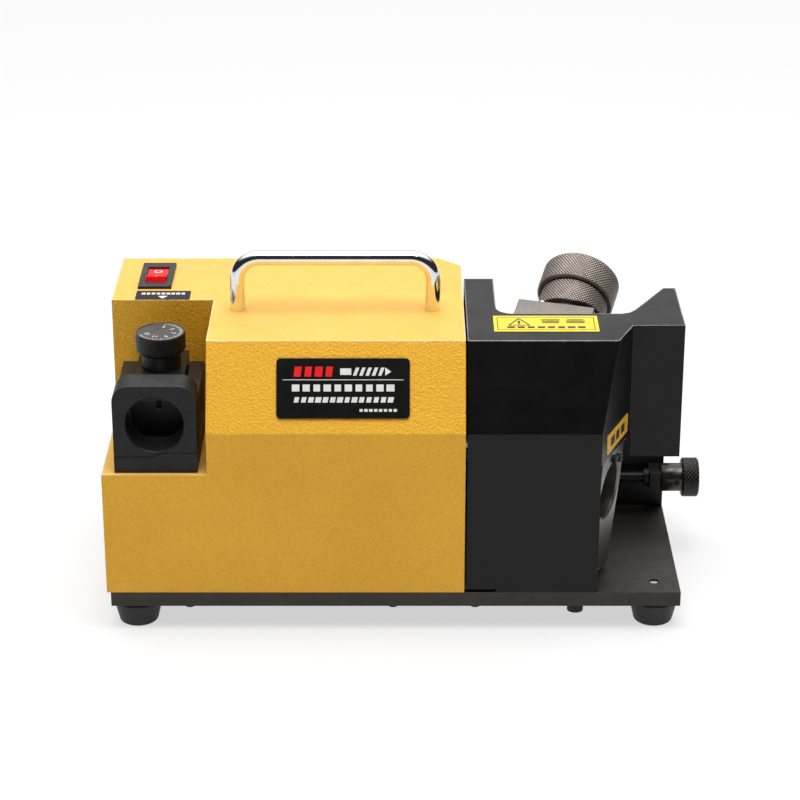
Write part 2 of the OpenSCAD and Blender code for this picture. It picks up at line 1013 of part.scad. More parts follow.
// Bent sheet between the motor and the wheel, with a foot under the guard's left edge
module partition() {
  inset = sheet_t + gap;
  right = cover_right - gap / 2;
  color(black)
    difference() {
      union() {
        intersection() {
          side_prism(right - partition_t, right, inset);
          plan_prism(cover_plan(inset), 0, far);
        }
        box([right - partition_t, inset, 0], [partition_foot_right, 112, partition_t]);
      }
      at_shaft(0)
        x_cylinder(40, 60);
      translate([partition_screw_x, flange_y, -skin])
        cylinder(d = cover_screw_d + gap, h = partition_t + 2 * skin);
    }
}

// Plan of the guard, with the round-cornered gap for the chuck
function guard_plan() = concat(
  [
    [guard_left, -1],
    [slant_x(-1), -1],
    [slant_x(wing_y), wing_y],
    [wing_right, wing_y],
    [wing_right, wing_back],
    [wing_right - wing_tip, wing_back],
    [wing_cut_x + 1.6, wing_cut_y + 3],
    [wing_cut_x - 1.6, wing_cut_y - 0.9],
    [wing_cut_x - 6, notch_y]
  ],
  arc([tab_right + notch_r, notch_y + notch_r], notch_r, 270, 180),
  [[tab_right, tab_back], [guard_left, tab_back]]
);

// Room under the guard's sheet, open at the left, at the back and below
module guard_room() {
  t = sheet_t;
  slant_t = t / cos(port_yaw);
  intersection() {
    side_prism(guard_left - 5, wing_right + 5, t);
    plan_prism([
      [guard_left - 3, -1],
      [slant_x(-1) - slant_t, -1],
      [slant_x(wing_y + t) - slant_t, wing_y + t],
      [wing_right - t, wing_y + t],
      [wing_right - t, tab_back + 5],
      [tab_right + 1, tab_back + 5],
      [tab_right + 1, tab_back - t],
      [guard_left - 3, tab_back - t]
    ], -1, cover_h - t);
  }
}

// Black sheet guard: front and leaning walls, slanted panel, top plate with the chuck's gap,
// and a wing on the right
module wheel_guard() {
  t = sheet_t;
  front_end = guard_front_right;
  wing_left = slant_x(wing_y) + 0.2;
  color(black)
    difference() {
      union() {
        difference() {
          intersection() {
            side_prism(guard_left, wing_right + 1, 0);
            plan_prism(guard_plan(), -1, cover_h + 1);
          }
          guard_room();
        }
        box([partition_foot_right + 1, t - skin, 0], [front_end - 4, flange_w, t]);
      }
      // nothing of the slanted panel below its lower edge
      plan_prism([
        [front_end, -1],
        [front_end, t + 0.3],
        [front_end - 6, t + 0.3],
        [front_end - 6, wing_y + t / 2],
        [wing_left, wing_y + t / 2],
        [wing_left, -1]
      ], t + 1, panel_z);
      plan_prism([
        [front_end, -1],
        [front_end, t + 0.3],
        [front_end - 2, t + 0.3],
        [front_end - 2, wing_y + t / 2],
        [wing_left, wing_y + t / 2],
        [wing_left, -1]
      ], -1, t + 2);
      box([front_end + 8, wing_y - 1, -1], [far, far, wing_z]);
      // the left part of the front wall clears the partition's foot
      box([guard_left - 1, -1, -1], [partition_foot_right + 0.8, t + 0.5, partition_t + gap]);
      box([guard_left - 1, tab_back - 3, -1], [tab_right + 1, tab_back + 1, partition_t + gap]);
      translate([guard_bolt_x, flange_y, -skin])
        cylinder(d = bolt_d + gap, h = t + 2 * skin);
    }
}

// Bolts under the plate for the guard, the point port and the thinning unit, and the guard's nut
module plate_bolts() {
  nut_h = 4;
  color(black) {
    plate_screw(guard_bolt_x, flange_y, bolt_d, bolt_head_d, bolt_head_h, sheet_t + nut_h + 1);
    translate([guard_bolt_x, flange_y, sheet_t])
      difference() {
        cylinder(d = 9.2, h = nut_h, $fn = 6);
        translate([0, 0, -skin])
          cylinder(d = bolt_d + 2 * run, h = nut_h + 2 * skin);
      }
    for (p = base_bolts)
      plate_screw(p[0], p[1], bolt_d, bolt_head_d, bolt_head_h, 12);
    for (p = port_bolts)
      plate_screw(p[0], p[1], bolt_d, bolt_head_d, bolt_head_h, port_foot_t);
  }
}

module warning_plate() {
  color("#f2d640")
    translate([78.3, 45, cover_h])
      linear_extrude(0.3)
        rounded_plate(54.6, 22.4, 0.6);
}

// Small label on the slanted panel, above the port
module port_plate_label() {
  color("#d9a02c")
    translate([guard_front_right, 0, 0])
      rotate([0, 0, -port_yaw])
        translate([0, 25, panel_z + 8])
          rotate([90, 0, 90])
            linear_extrude(0.3)
              rounded_plate(34, 10.5, 1);
}

// ---------------------------------------------------------------- point port

module point_port() {
  color(dark_steel)
    difference() {
      union() {
        at_port() {
          translate([0, 0, -port_t])
            linear_extrude(port_t)
              polygon([
                [-4, -port_bottom],
                [port_half_w - 7, -port_bottom],
                [port_half_w, 2],
                [port_half_w, port_top],
                [-port_half_w + 1, port_top],
                [-port_half_w + 1, -25]
              ]);
          translate([0, 0, -port_boss_l])
            cylinder(r = port_boss_r, h = port_boss_l - port_t + skin, $fn = 96);
          translate([-4, -port_bottom, -port_boss_l])
            cube([14, port_bottom, port_boss_l - 2]);
        }
        box([port_foot_x - 8, 16, 0], [port_foot_x + 8, 50, port_foot_t]);
      }
      at_port()
        translate([0, 0, -port_boss_l - 20])
          cylinder(d = port_bore_d, h = port_boss_l + 21, $fn = 128);
      at_port()
        translate([0, 0, -1])
          rotate_extrude($fn = 128)
            polygon([[0, 0], [port_bore_d / 2, 0], [port_bore_d / 2 + 1.05, 1.05], [0, 1.05]]);
      for (p = port_pins)
        at_port()
          translate([p[0], p[1], -6])
            cylinder(d = port_pin_d + 2 * run, h = 7, $fn = 48);
      for (p = port_bolts)
        translate([p[0], p[1], -skin])
          cylinder(d = bolt_d + gap, h = port_foot_t + 2 * skin);
      // room for the wheel, and a flat sole on the plate
      box([0, -20, -40], [wheel_face_x + port_wheel_gap, 100, 120]);
      box([0, -20, -40], [200, 100, 0]);
    }
}

module point_port_pins() {
  color(black)
    for (p = port_pins)
      at_port()
        translate([p[0], p[1], -6])
          difference() {
            cylinder(d = port_pin_d, h = 8, $fn = 48);
            translate([0, 0, 6.4])
              cylinder(d = 2.3, h = 2, $fn = 6);
          }
}

// ---------------------------------------------------------------- web thinning unit

base_bolts = [[70, 124], [124, 119]];

module thinning_base() {
  color(black)
    difference() {
      union() {
        box([base_x, base_y, 0], [base_right, base_back, base_h]);
        box([base_x + 4, rail_y, base_h - skin], [base_right - 4, rail_y + rail_w, base_h + rail_h]);
      }
      for (p = base_bolts)
        translate([p[0], p[1], -skin])
          cylinder(d = bolt_d + gap, h = 14);
    }
}

// Slide that carries the holder: a slab over the rail, a column and the feed screw's lug
module thinning_carriage() {
  slab_z = base_h + gap;
  color(dark_steel)
    difference() {
      union() {
        box([carriage_x, base_y, slab_z], [carriage_x + carriage_w, base_back, carriage_h]);
        difference() {
          box([carriage_x + 2, 90, carriage_h - skin], [carriage_x + carriage_w - 2, 128, 112]);
          at_chuck(-80)
            translate([-60, -100, 0])
              cube([120, 100 + holder_bottom, 160]);
          at_chuck(-flange_h - 2)
            cylinder(r = cap_d / 2 + 2, h = 100, $fn = 96);
        }
        box([feed_lug_x, feed_y - 6.5, feed_z - 8],
          [feed_lug_x + feed_lug_w, base_y - gap, carriage_h]);
        box([feed_lug_x, base_y - gap - skin, slab_z],
          [feed_lug_x + feed_lug_w, base_y + 1, carriage_h]);
      }
      box([carriage_x - 1, rail_y - gap, base_h - 1],
        [carriage_x + carriage_w + 1, rail_y + rail_w + gap, base_h + rail_h + gap]);
      at_shaft(carriage_x - 10)
        x_cylinder(2 * relief_r, wheel_face_x + 18 - carriage_x, 128);
      translate([feed_lug_x - 1, feed_y, feed_z])
        x_cylinder(feed_screw_d + 2 * run, feed_lug_w + 2, 48);
    }
}

// Inclined block whose bore takes the chuck, cut round the wheel
module thinning_holder() {
  color("#8c8682")
    difference() {
      at_chuck(-holder_start)
        translate([-holder_left, -holder_top, 0])
          cube([holder_left + holder_right, holder_top + holder_bottom,
            holder_start - holder_end]);
      at_chuck(-holder_start - 10)
        cylinder(d = port_bore_d, h = holder_start, $fn = 128);
      at_shaft(40)
        x_cylinder(2 * relief_r, wheel_face_x + 8 - 40, 128);
      at_chuck(-holder_end - 6)
        translate([thinning_pin_pos[0], thinning_pin_pos[1], 0])
          cylinder(d = 4 + 2 * run, h = 7, $fn = 48);
    }
}

thinning_pin_pos = [-12.5, -13.5];

module thinning_pin() {
  color("#d0cdc8")
    at_chuck(-holder_end - 6)
      translate([thinning_pin_pos[0], thinning_pin_pos[1], 0])
        cylinder(d = 4, h = 6 + holder_end - flange_h - 0.5, $fn = 48);
}

module feed_bracket() {
  color("#3a3a3a")
    difference() {
      box([bracket_x, feed_y - 6.2, feed_z - 5], [bracket_x + bracket_w, base_y, feed_z + 5]);
      translate([bracket_x - 1, feed_y, feed_z])
        x_cylinder(feed_screw_d + 2 * run, bracket_w + 2, 48);
    }
}

module feed_screw() {
  collar_w = 3;
  start_x = feed_lug_x - 8;
  color(dark_steel)
    translate([0, feed_y, feed_z]) {
      translate([start_x, 0, 0])
        x_cylinder(feed_screw_d, bracket_x + bracket_w + 12 - start_x, 48);
      translate([bracket_x - gap - collar_w, 0, 0])
        x_cylinder(10, collar_w, 48);
    }
}

knob_x = bracket_x + bracket_w + gap;
hub_w = 11.6;
knob_w = 9.3;
hub_d = 15.8;

module feed_knob() {
  bevel = 0.8;
  color(black)
    translate([knob_x, feed_y, feed_z])
      difference() {
        rotate([0, 90, 0])
          rotate_extrude($fn = 96)
            polygon([
              [0, 0],
              [hub_d / 2, 0],
              [hub_d / 2, hub_w],
              [feed_knob_d / 2 - bevel, hub_w],
              [feed_knob_d / 2, hub_w + bevel],
              [feed_knob_d / 2, hub_w + knob_w - bevel],
              [feed_knob_d / 2 - bevel, hub_w + knob_w],
              [0, hub_w + knob_w]
            ]);
        translate([-skin, 0, 0])
          x_cylinder(feed_screw_d + 2 * run, 12 + skin, 48);
        knob_screw_hole(3.2 + 2 * run);
      }
}

// Radial hole in the knob's hub, on its front side
module knob_screw_hole(d) {
  translate([hub_w - 3.5, 0, 0])
    rotate([90, 0, 0])
      cylinder(d = d, h = 12, $fn = 32);
}

module knob_set_screw() {
  color(steel)
    translate([knob_x + hub_w - 3.5, feed_y - feed_screw_d / 2 - run, feed_z])
      rotate([90, 0, 0])
        difference() {
          cylinder(d = 3.2, h = 3.6, $fn = 32);
          translate([0, 0, 2])
            cylinder(d = 1.7, h = 3, $fn = 6);
        }
}

// ---------------------------------------------------------------- chuck

chuck_thread_d = 30;
collet_big_r = 10.4;
collet_small_r = 8.4;
collet_l = 30;

module chuck_body() {
  sleeve_r = port_bore_d / 2 - run;
  cam_cut = 2.2;
  color("#8f857a")
    difference() {
      at_chuck()
        rotate_extrude($fn = 128)
          polygon([
            [collet_big_r + 0.3, -chuck_nose],
            [sleeve_r - 2, -chuck_nose],
            [sleeve_r, -chuck_nose + 4],
            [sleeve_r, -flange_h],
            [flange_d / 2 - 0.6, -flange_h],
            [flange_d / 2, -flange_h + 0.6],
            [flange_d / 2, -gap - 0.6],
            [flange_d / 2 - 0.6, -gap],
            [chuck_thread_d / 2, -gap],
            [chuck_thread_d / 2, 11],
            [collet_small_r + 0.3, 11],
            [collet_small_r + 0.3, -chuck_nose + collet_l]
          ]);
      // two cam grooves under the flange
      for (a = [20, 200])
        at_chuck(-flange_h - skin)
          rotate([0, 0, a])
            translate([sleeve_r, -4, 0])
              cube([6, 8, cam_cut + skin]);
    }
}

module chuck_cap() {
  r = cap_d / 2;
  wall_top = 3;
  thread_r = chuck_thread_d / 2 + run;
  color("#8f857a")
    at_chuck()
      rotate_extrude($fn = 128)
        polygon([
          [thread_r, 0.6],
          [thread_r + 3.2, 0.6],
          [thread_r + 3.8, 0],
          [r - 0.5, 0],
          [r, 0.5],
          [r, cap_h - 1.5],
          [r - 1.5, cap_h],
          [8.2, cap_h],
          [7.5, cap_h - 0.7],
          [7.5, cap_h - wall_top],
          [thread_r, cap_h - wall_top]
        ]);
}

// Split collet that grips the drill, held in the nose of the chuck
module collet() {
  bore_r = 6.5;
  color("#a8a6a2")
    at_chuck(-chuck_nose - 1)
      difference() {
        rotate_extrude($fn = 96)
          polygon([
            [bore_r, 0],
            [collet_big_r - 0.6, 0],
            [collet_big_r, 0.8],
            [collet_small_r, collet_l],
            [collet_small_r, collet_l + 12],
            [bore_r, collet_l + 12]
          ]);
        for (a = [0:60:300])
          rotate([0, 0, a])
            translate([0, -0.5, -skin])
              cube([collet_big_r + 1, 1, collet_l - 6]);
      }
}

// ---------------------------------------------------------------- setting gauge

gauge_z = step_h;
gauge_left = gauge_x - gauge_w / 2;
gauge_right = gauge_x + gauge_w / 2;

// Base with the slanted step in its front, and a pad behind the bore for the stop
module gauge_base() {
  low = gauge_base_h;
  high = gauge_base_h + gauge_step;
  color(black)
    difference() {
      union() {
        translate([0, gauge_y + bore_block_l, gauge_z])
          rotate([90, 0, 0])
            linear_extrude(bore_block_l)
              polygon([
                [gauge_left, 0],
                [gauge_right, 0],
                [gauge_right, high],
                [gauge_x + 2.5, high],
                [gauge_x - 1.5, low],
                [gauge_left, low]
              ]);
        box([gauge_left, gauge_y + bore_block_l - skin, gauge_z],
          [gauge_right, gauge_back, gauge_z + low]);
      }
      gauge_screw_holes(gauge_z - skin, low + 2 * skin);
    }
}

// Front block with the bore that the chuck is pushed into
module gauge_bore_block() {
  low = gauge_base_h + gauge_step;
  round_r = 8.5;
  half = gauge_w / 2;
  color(black)
    difference() {
      translate([gauge_x, gauge_y + bore_block_l, gauge_z])
        rotate([90, 0, 0])
          linear_extrude(bore_block_l - seam)
            polygon(concat(
              [
                [-half, gauge_base_h],
                [-1.5, gauge_base_h],
                [2.5, low],
                [half, low]
              ],
              arc([half - round_r, gauge_h - round_r], round_r, 0, 90),
              arc([-half + round_r, gauge_h - round_r], round_r, 90, 180)));
      gauge_bore();
    }
}

module gauge_bore() {
  translate([gauge_x, gauge_y + seam, gauge_bore_z])
    rotate([-90, 0, 0]) {
      translate([0, 0, -1])
        cylinder(d = port_bore_d, h = bore_block_l + 2, $fn = 128);
      rotate_extrude($fn = 128)
        polygon([[0, -1], [port_bore_d / 2 + 1.6, -1], [port_bore_d / 2 + 0.6, 0],
          [port_bore_d / 2, 0.6], [0, 0.6]]);
    }
}

module gauge_rails() {
  z0 = gauge_z + gauge_base_h;
  y0 = gauge_y + bore_block_l;
  color(dark_steel)
    for (x = [gauge_left, gauge_right - rail_t])
      difference() {
        box([x, y0, z0], [x + rail_t, gauge_back, rail_top]);
        gauge_screw_holes(z0 - skin, 12);
      }
}

// Block between the rails that carries the dial's stem, on a leg behind the base
module gauge_bridge() {
  z0 = bridge_top - bridge_t;
  color(dark_steel)
    difference() {
      union() {
        box([gauge_x - bridge_w / 2, bridge_y, z0],
          [gauge_x + bridge_w / 2, bridge_back, bridge_top]);
        box([gauge_x - bridge_w / 2, bridge_back - bridge_leg_t, gauge_z],
          [gauge_x + bridge_w / 2, bridge_back, bridge_top]);
        box([gauge_left, bridge_back - bridge_leg_t, gauge_z],
          [gauge_right, bridge_back, leg_top]);
      }
      translate([gauge_x, dial_y, z0 - skin])
        cylinder(d = 12 + 2 * run, h = 20, $fn = 48);
    }
}

// Screws from under the ledge, through the base, into the rails
module gauge_screws() {
  head_h = 2.4;
  color(black)
    for (x = gauge_screw_xs, y = gauge_screw_ys)
      translate([x, y, step_h - sheet_t - head_h])
        difference() {
          union() {
            cylinder(d = 7, h = head_h);
            cylinder(d = gauge_screw_d, h = head_h + sheet_t + gauge_base_h + 11);
          }
          cross_recess(4, 1.4);
        }
}

// Dial, with a bevelled lower edge and a blind hole for the stem
module gauge_dial() {
  bevel = 2.4;
  r = dial_d / 2;
  color(black)
    translate([gauge_x, dial_y, dial_z - dial_h])
      difference() {
        rotate_extrude($fn = 128)
          polygon([[0, 0], [r - bevel, 0], [r, bevel], [r, dial_h - 0.5], [r - 0.5, dial_h],
            [r - 1.3, dial_h], [r - 1.3, dial_h - 0.3], [0, dial_h - 0.3]]);
        translate([0, 0, -skin])
          cylinder(d = 10 + 2 * run, h = 6 + skin, $fn = 48);
      }
}

// Radius of the cam groove at an angle from its start
function cam_r(a) = cam_r0 + cam_rise * a / cam_turn;

// Stem from the dial down to a cam plate whose spiral groove moves the stop
module gauge_stem() {
  cam_z = bridge_top - bridge_t - gap - cam_t;
  groove = stop_pin_d / 2 + 0.5;
  a0 = -cam_spare;
  a1 = cam_turn + cam_spare;
  n = 68;
  color(black)
    translate([gauge_x, dial_y, 0])
      difference() {
        union() {
          translate([0, 0, bridge_top + gap])
            cylinder(d = stem_d, h = dial_z - dial_h - bridge_top - gap, $fn = 96);
          translate([0, 0, cam_z])
            cylinder(d = 12, h = bridge_top + 1 - cam_z, $fn = 48);
          translate([0, 0, dial_z - dial_h - skin])
            cylinder(d = 10, h = 6, $fn = 48);
          translate([0, 0, cam_z])
            cylinder(d = cam_d + 2, h = cam_t, $fn = 96);
        }
        // the stop's pin is straight behind the stem, so the groove is wound from there
        translate([0, 0, cam_z - skin])
          linear_extrude(cam_groove + skin)
            polygon(concat(
              [for (i = [0:n]) let (a = a0 + (a1 - a0) * i / n)
                (cam_r(a) + groove) * [sin(a), cos(a)]],
              [for (i = [n:-1:0]) let (a = a0 + (a1 - a0) * i / n)
                (cam_r(a) - groove) * [sin(a), cos(a)]]));
      }
}

// Stop that the drill's tip touches: a slide on the base, with its pin in the cam's groove
module gauge_stop() {
  cam_z = bridge_top - bridge_t - gap - cam_t;
  plate_y = 30;
  plate_l = 6;
  slide_l = 30;
  slide_t = 5;
  clear = 0.4;
  z0 = gauge_z + gauge_base_h + gap;
  half = gauge_w / 2 - rail_t - gap;
  pin_y = dial_y + cam_r0;
  color(steel) {
    difference() {
      union() {
        box([gauge_x - half, plate_y, z0], [gauge_x + half, plate_y + slide_l, z0 + slide_t]);
        box([gauge_x - half, plate_y, z0], [gauge_x + half, plate_y + plate_l, cam_z - clear]);
      }
      // V in the stop's face, for the drill's point
      translate([gauge_x, plate_y, gauge_bore_z])
        rotate([0, 0, 45])
          cube([2, 2, 5], center = true);
    }
    translate([gauge_x, pin_y, z0 + slide_t - skin])
      cylinder(d = 8, h = cam_z - clear - z0 - slide_t + skin, $fn = 48);
    translate([gauge_x, pin_y, cam_z - clear - skin])
      cylinder(d = stop_pin_d, h = cam_groove + skin, $fn = 32);
  }
}

// ---------------------------------------------------------------- the machine

place() base_plate();
place() rubber_feet();
place() foot_screws();
place() motor_cover();
place() cover_screws();
place() clinch_nuts();
place() carry_handle();
place() handle_screws();
place() switch_body();
place() switch_rocker();
place() dial_pointer_label();
place() nameplate();
place() cable_gland();
place() gland_nut();
place() control_board();
place() board_standoffs();
place() motor_can();
place() motor_magnets();
place() motor_front_bell();
place() motor_rear_bell();
place() motor_bearings();
place() motor_bracket();
place() motor_bracket_screws();
place() motor_shaft();
place() armature_core();
place() armature_windings();
place() commutator();
place() brush_holders();
place() carbon_brushes();
place() wheel_hub();
place() grinding_wheel();
place() abrasive_ring();
place() wheel_washer();
place() wheel_nut();
place() partition();
place() wheel_guard();
place() plate_bolts();
place() warning_plate();
place() port_plate_label();
place() point_port();
place() point_port_pins();
place() thinning_base();
place() thinning_carriage();
place() thinning_holder();
place() thinning_pin();
place() feed_bracket();
place() feed_screw();
place() feed_knob();
place() knob_set_screw();
place() chuck_body();
place() chuck_cap();
place() collet();
place() gauge_base();
place() gauge_bore_block();
place() gauge_rails();
place() gauge_bridge();
place() gauge_screws();
place() gauge_dial();
place() gauge_stem();
place() gauge_stop();
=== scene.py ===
"""Looks of a bench drill bit sharpener: paints, metals, knurls, printed labels, light and camera.

The CAD frame gives the shapes and places; the knurled pieces take the place of plain ones.
Lengths here are millimetres in the machine's own frame (Y = 0 at the plate's front edge, Z = 0 on
the plate's top face) and are turned into the CAD frame's metres by machine_frame().
"""

import math
import random

import bmesh
import bpy
from mathutils import Matrix, Vector


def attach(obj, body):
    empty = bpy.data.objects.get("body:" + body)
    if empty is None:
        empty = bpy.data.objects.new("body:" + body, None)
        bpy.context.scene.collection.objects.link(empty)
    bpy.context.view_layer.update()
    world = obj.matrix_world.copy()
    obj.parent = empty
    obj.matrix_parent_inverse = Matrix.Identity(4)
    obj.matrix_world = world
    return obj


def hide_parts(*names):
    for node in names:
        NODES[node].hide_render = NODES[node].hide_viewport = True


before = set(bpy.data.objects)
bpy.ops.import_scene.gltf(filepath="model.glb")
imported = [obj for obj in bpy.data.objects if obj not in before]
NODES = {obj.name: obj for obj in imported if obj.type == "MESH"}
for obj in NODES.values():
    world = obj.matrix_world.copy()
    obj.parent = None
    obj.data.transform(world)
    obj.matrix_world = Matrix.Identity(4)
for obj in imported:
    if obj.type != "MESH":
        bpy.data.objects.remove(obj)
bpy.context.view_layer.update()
MM = 0.001

# Where the machine's own frame sits in the CAD frame
SHIFT = Vector((-8.15, -81.5, 22.0))

# Places and sizes that follow the CAD model, in millimetres and degrees
CHUCK_RIM = Vector((98.0, 115.0, 120.2))
CHUCK_AZIMUTH = 19.0
CHUCK_RISE = 28.0
CAP_RADIUS = 21.5
CAP_LENGTH = 17.3
CAP_WALL = 3.0
CAP_HOLE_RADIUS = 7.5
THREAD_RADIUS = 15.05
FLANGE_RADIUS = 18.75
FLANGE_LENGTH = 15.3
SLEEVE_RADIUS = 14.95
SLEEVE_END = -44.0
COVER_TOP = 134.0
BEND_HEIGHT = 91.0
LEAN = math.degrees(math.atan2(22.0, COVER_TOP - BEND_HEIGHT))
PORT_YAW = 22.5
GUARD_CORNER = 106.0
DIAL_CENTRE = Vector((-123.8, 52.0, 127.2))
DIAL_RADIUS = 13.25
DIAL_HEIGHT = 11.6
DIAL_RIM = 0.3
STEM_HOLE_RADIUS = 5.05
KNOB_START = Vector((147.4, 98.2, 21.3))
KNOB_RADIUS = 11.0
KNOB_LENGTH = 20.9
HUB_RADIUS = 7.9
HUB_LENGTH = 11.6
FEED_SCREW_HOLE_RADIUS = 3.05
SET_SCREW_RADIUS = 1.6

# The flange's cam: where its deepest cut lies, how deep that is, and the share left uncut
CAM_ANGLE = -20.0
CAM_CUT = 3.4
CAM_REST = 0.3

# Knurls: steps round and along each diamond
STEPS_ROUND = 5
STEPS_ALONG = 6

# Thickness of a print, and of the finer prints on the dial
PRINT = 0.06
DIAL_PRINT = 0.04

# Corners of a printed ring and of the disc that stands for a hole
CIRCLE_STEPS = 32
HOLE_STEPS = 24

# The studio's dome leans back; its strength goes from dark in front to bright overhead
DOME_LEAN = 0.4
DOME_LOW = 0.5
DOME_HIGH = 0.9
DOME_DARK = 0.03
DOME_BRIGHT = 1.75

# The softbox over the machine, in metres and watts
SOFTBOX_PLACE = (0.0, -0.22, 1.25)
SOFTBOX_TARGET = (0.0, 0.0, 0.1)
SOFTBOX_SIZE = 0.8
SOFTBOX_POWER = 12.5

# The floor, in metres, and how strongly it glows
FLOOR_HALF = 12.0
FLOOR_GLOW = 0.62

# The camera, in millimetres and degrees
CAMERA_PLACE = (2.18, -1181.63, 617.53)
CAMERA_PITCH = 23.236
CAMERA_LENS = 113.68
CAMERA_SENSOR = 36.0

RANDOM_SEED = 7


def machine_point(x, y, z):
    """A point of the machine's own frame, in the CAD frame's metres."""
    return (Vector((x, y, z)) + SHIFT) * MM


def machine_frame(origin, rotation):
    """Matrix from local millimetres to the CAD frame's metres."""
    move = Matrix.Translation((Vector(origin) + SHIFT) * MM)
    return move @ rotation.to_4x4() @ Matrix.Scale(MM, 4)


def turn(degrees, axis):
    """Rotation by some degrees about a named axis."""
    return Matrix.Rotation(math.radians(degrees), 3, axis)


# ------------------------------------------------------------------ materials


class Paint:
    """A material's node tree, with short helpers to add and join nodes."""

    def __init__(self, name):
        self.material = bpy.data.materials.new(name)
        self.material.use_nodes = True
        self.tree = self.material.node_tree
        self.bsdf = self.tree.nodes["Principled BSDF"]
        self.place = self.add("ShaderNodeTexCoord").outputs["Object"]

    def add(self, kind, **values):
        """A new node with some of its settings."""
        node = self.tree.nodes.new(kind)
        for key, value in values.items():
            setattr(node, key, value)
        return node

    def put(self, socket, value):
        """Link a socket to another one, or give it a plain value."""
        if isinstance(value, bpy.types.NodeSocket):
            self.tree.links.new(value, socket)
        else:
            socket.default_value = value

    def noise(self, scale, detail=3.0, roughness=0.5, stretch=None):
        """Cloudy noise over the piece, stretched along its axes if asked."""
        node = self.add("ShaderNodeTexNoise")
        place = self.place
        if stretch:
            mapping = self.add("ShaderNodeMapping")
            self.put(mapping.inputs["Vector"], place)
            mapping.inputs["Scale"].default_value = stretch
            place = mapping.outputs["Vector"]
        self.put(node.inputs["Vector"], place)
        node.inputs["Scale"].default_value = scale
        node.inputs["Detail"].default_value = detail
        node.inputs["Roughness"].default_value = roughness
        return node.outputs["Fac"]

    def cells(self, scale):
        """Distance from the middle of the nearest grain."""
        node = self.add("ShaderNodeTexVoronoi", feature="F1")
        self.put(node.inputs["Vector"], self.place)
        node.inputs["Scale"].default_value = scale
        return node.outputs["Distance"]

    def span(self, value, low, high, to_low=0.0, to_high=1.0):
        """A value taken from one range to another and held within it."""
        node = self.add("ShaderNodeMapRange")
        self.put(node.inputs["Value"], value)
        node.inputs["From Min"].default_value = low
        node.inputs["From Max"].default_value = high
        node.inputs["To Min"].default_value = to_low
        node.inputs["To Max"].default_value = to_high
        return node.outputs["Result"]

    def math(self, operation, a, b):
        """Sum or product of two values."""
        node = self.add("ShaderNodeMath", operation=operation)
        self.put(node.inputs[0], a)
        self.put(node.inputs[1], b)
        return node.outputs[0]

    def mix(self, factor, a, b):
        """Colour a where the factor is 0 and colour b where it is 1."""
        node = self.add("ShaderNodeMix", data_type="RGBA")
        self.put(node.inputs["Factor"], factor)
        self.put(node.inputs["A"], a)
        self.put(node.inputs["B"], b)
        return node.outputs["Result"]

    def bump(self, height, distance, normal=None):
        """Normals of a surface raised by a height of some millimetres."""
        node = self.add("ShaderNodeBump")
        node.inputs["Strength"].default_value = 1.0
        node.inputs["Distance"].default_value = distance * MM
        self.put(node.inputs["Height"], height)
        if normal:
            self.put(node.inputs["Normal"], normal)
        return node.outputs["Normal"]

    def soft_edges(self, radius):
        """Normals rounded over every edge, and a mask that is 1 on the edges."""
        bevel = self.add("ShaderNodeBevel", samples=6)
        bevel.inputs["Radius"].default_value = radius * MM
        geometry = self.add("ShaderNodeNewGeometry")
        dot = self.add("ShaderNodeVectorMath", operation="DOT_PRODUCT")
        self.put(dot.inputs[0], bevel.outputs["Normal"])
        self.put(dot.inputs[1], geometry.outputs["Normal"])
        mask = self.span(dot.outputs["Value"], 0.998, 0.975)
        return bevel.outputs["Normal"], mask

    def upward(self, low=0.6, high=0.95, normal=None):
        """1 where the surface faces up, 0 where it is upright or faces down."""
        split = self.add("ShaderNodeSeparateXYZ")
        self.put(split.inputs[0], normal or self.add("ShaderNodeNewGeometry").outputs["Normal"])
        return self.span(split.outputs["Z"], low, high)

    def finish(self, colour, roughness, normal=None, metallic=0.0, specular=0.5):
        """Join everything to the shader."""
        self.put(self.bsdf.inputs["Base Color"], colour)
        self.put(self.bsdf.inputs["Roughness"], roughness)
        self.bsdf.inputs["Metallic"].default_value = metallic
        self.bsdf.inputs["Specular IOR Level"].default_value = specular
        if normal:
            self.put(self.bsdf.inputs["Normal"], normal)
        return self.material


def rgb(red, green, blue):
    """Opaque colour."""
    return (red, green, blue, 1.0)


def shade(colour, factor):
    """The same colour, darker or lighter."""
    return rgb(*[min(1.0, c * factor) for c in colour[:3]])


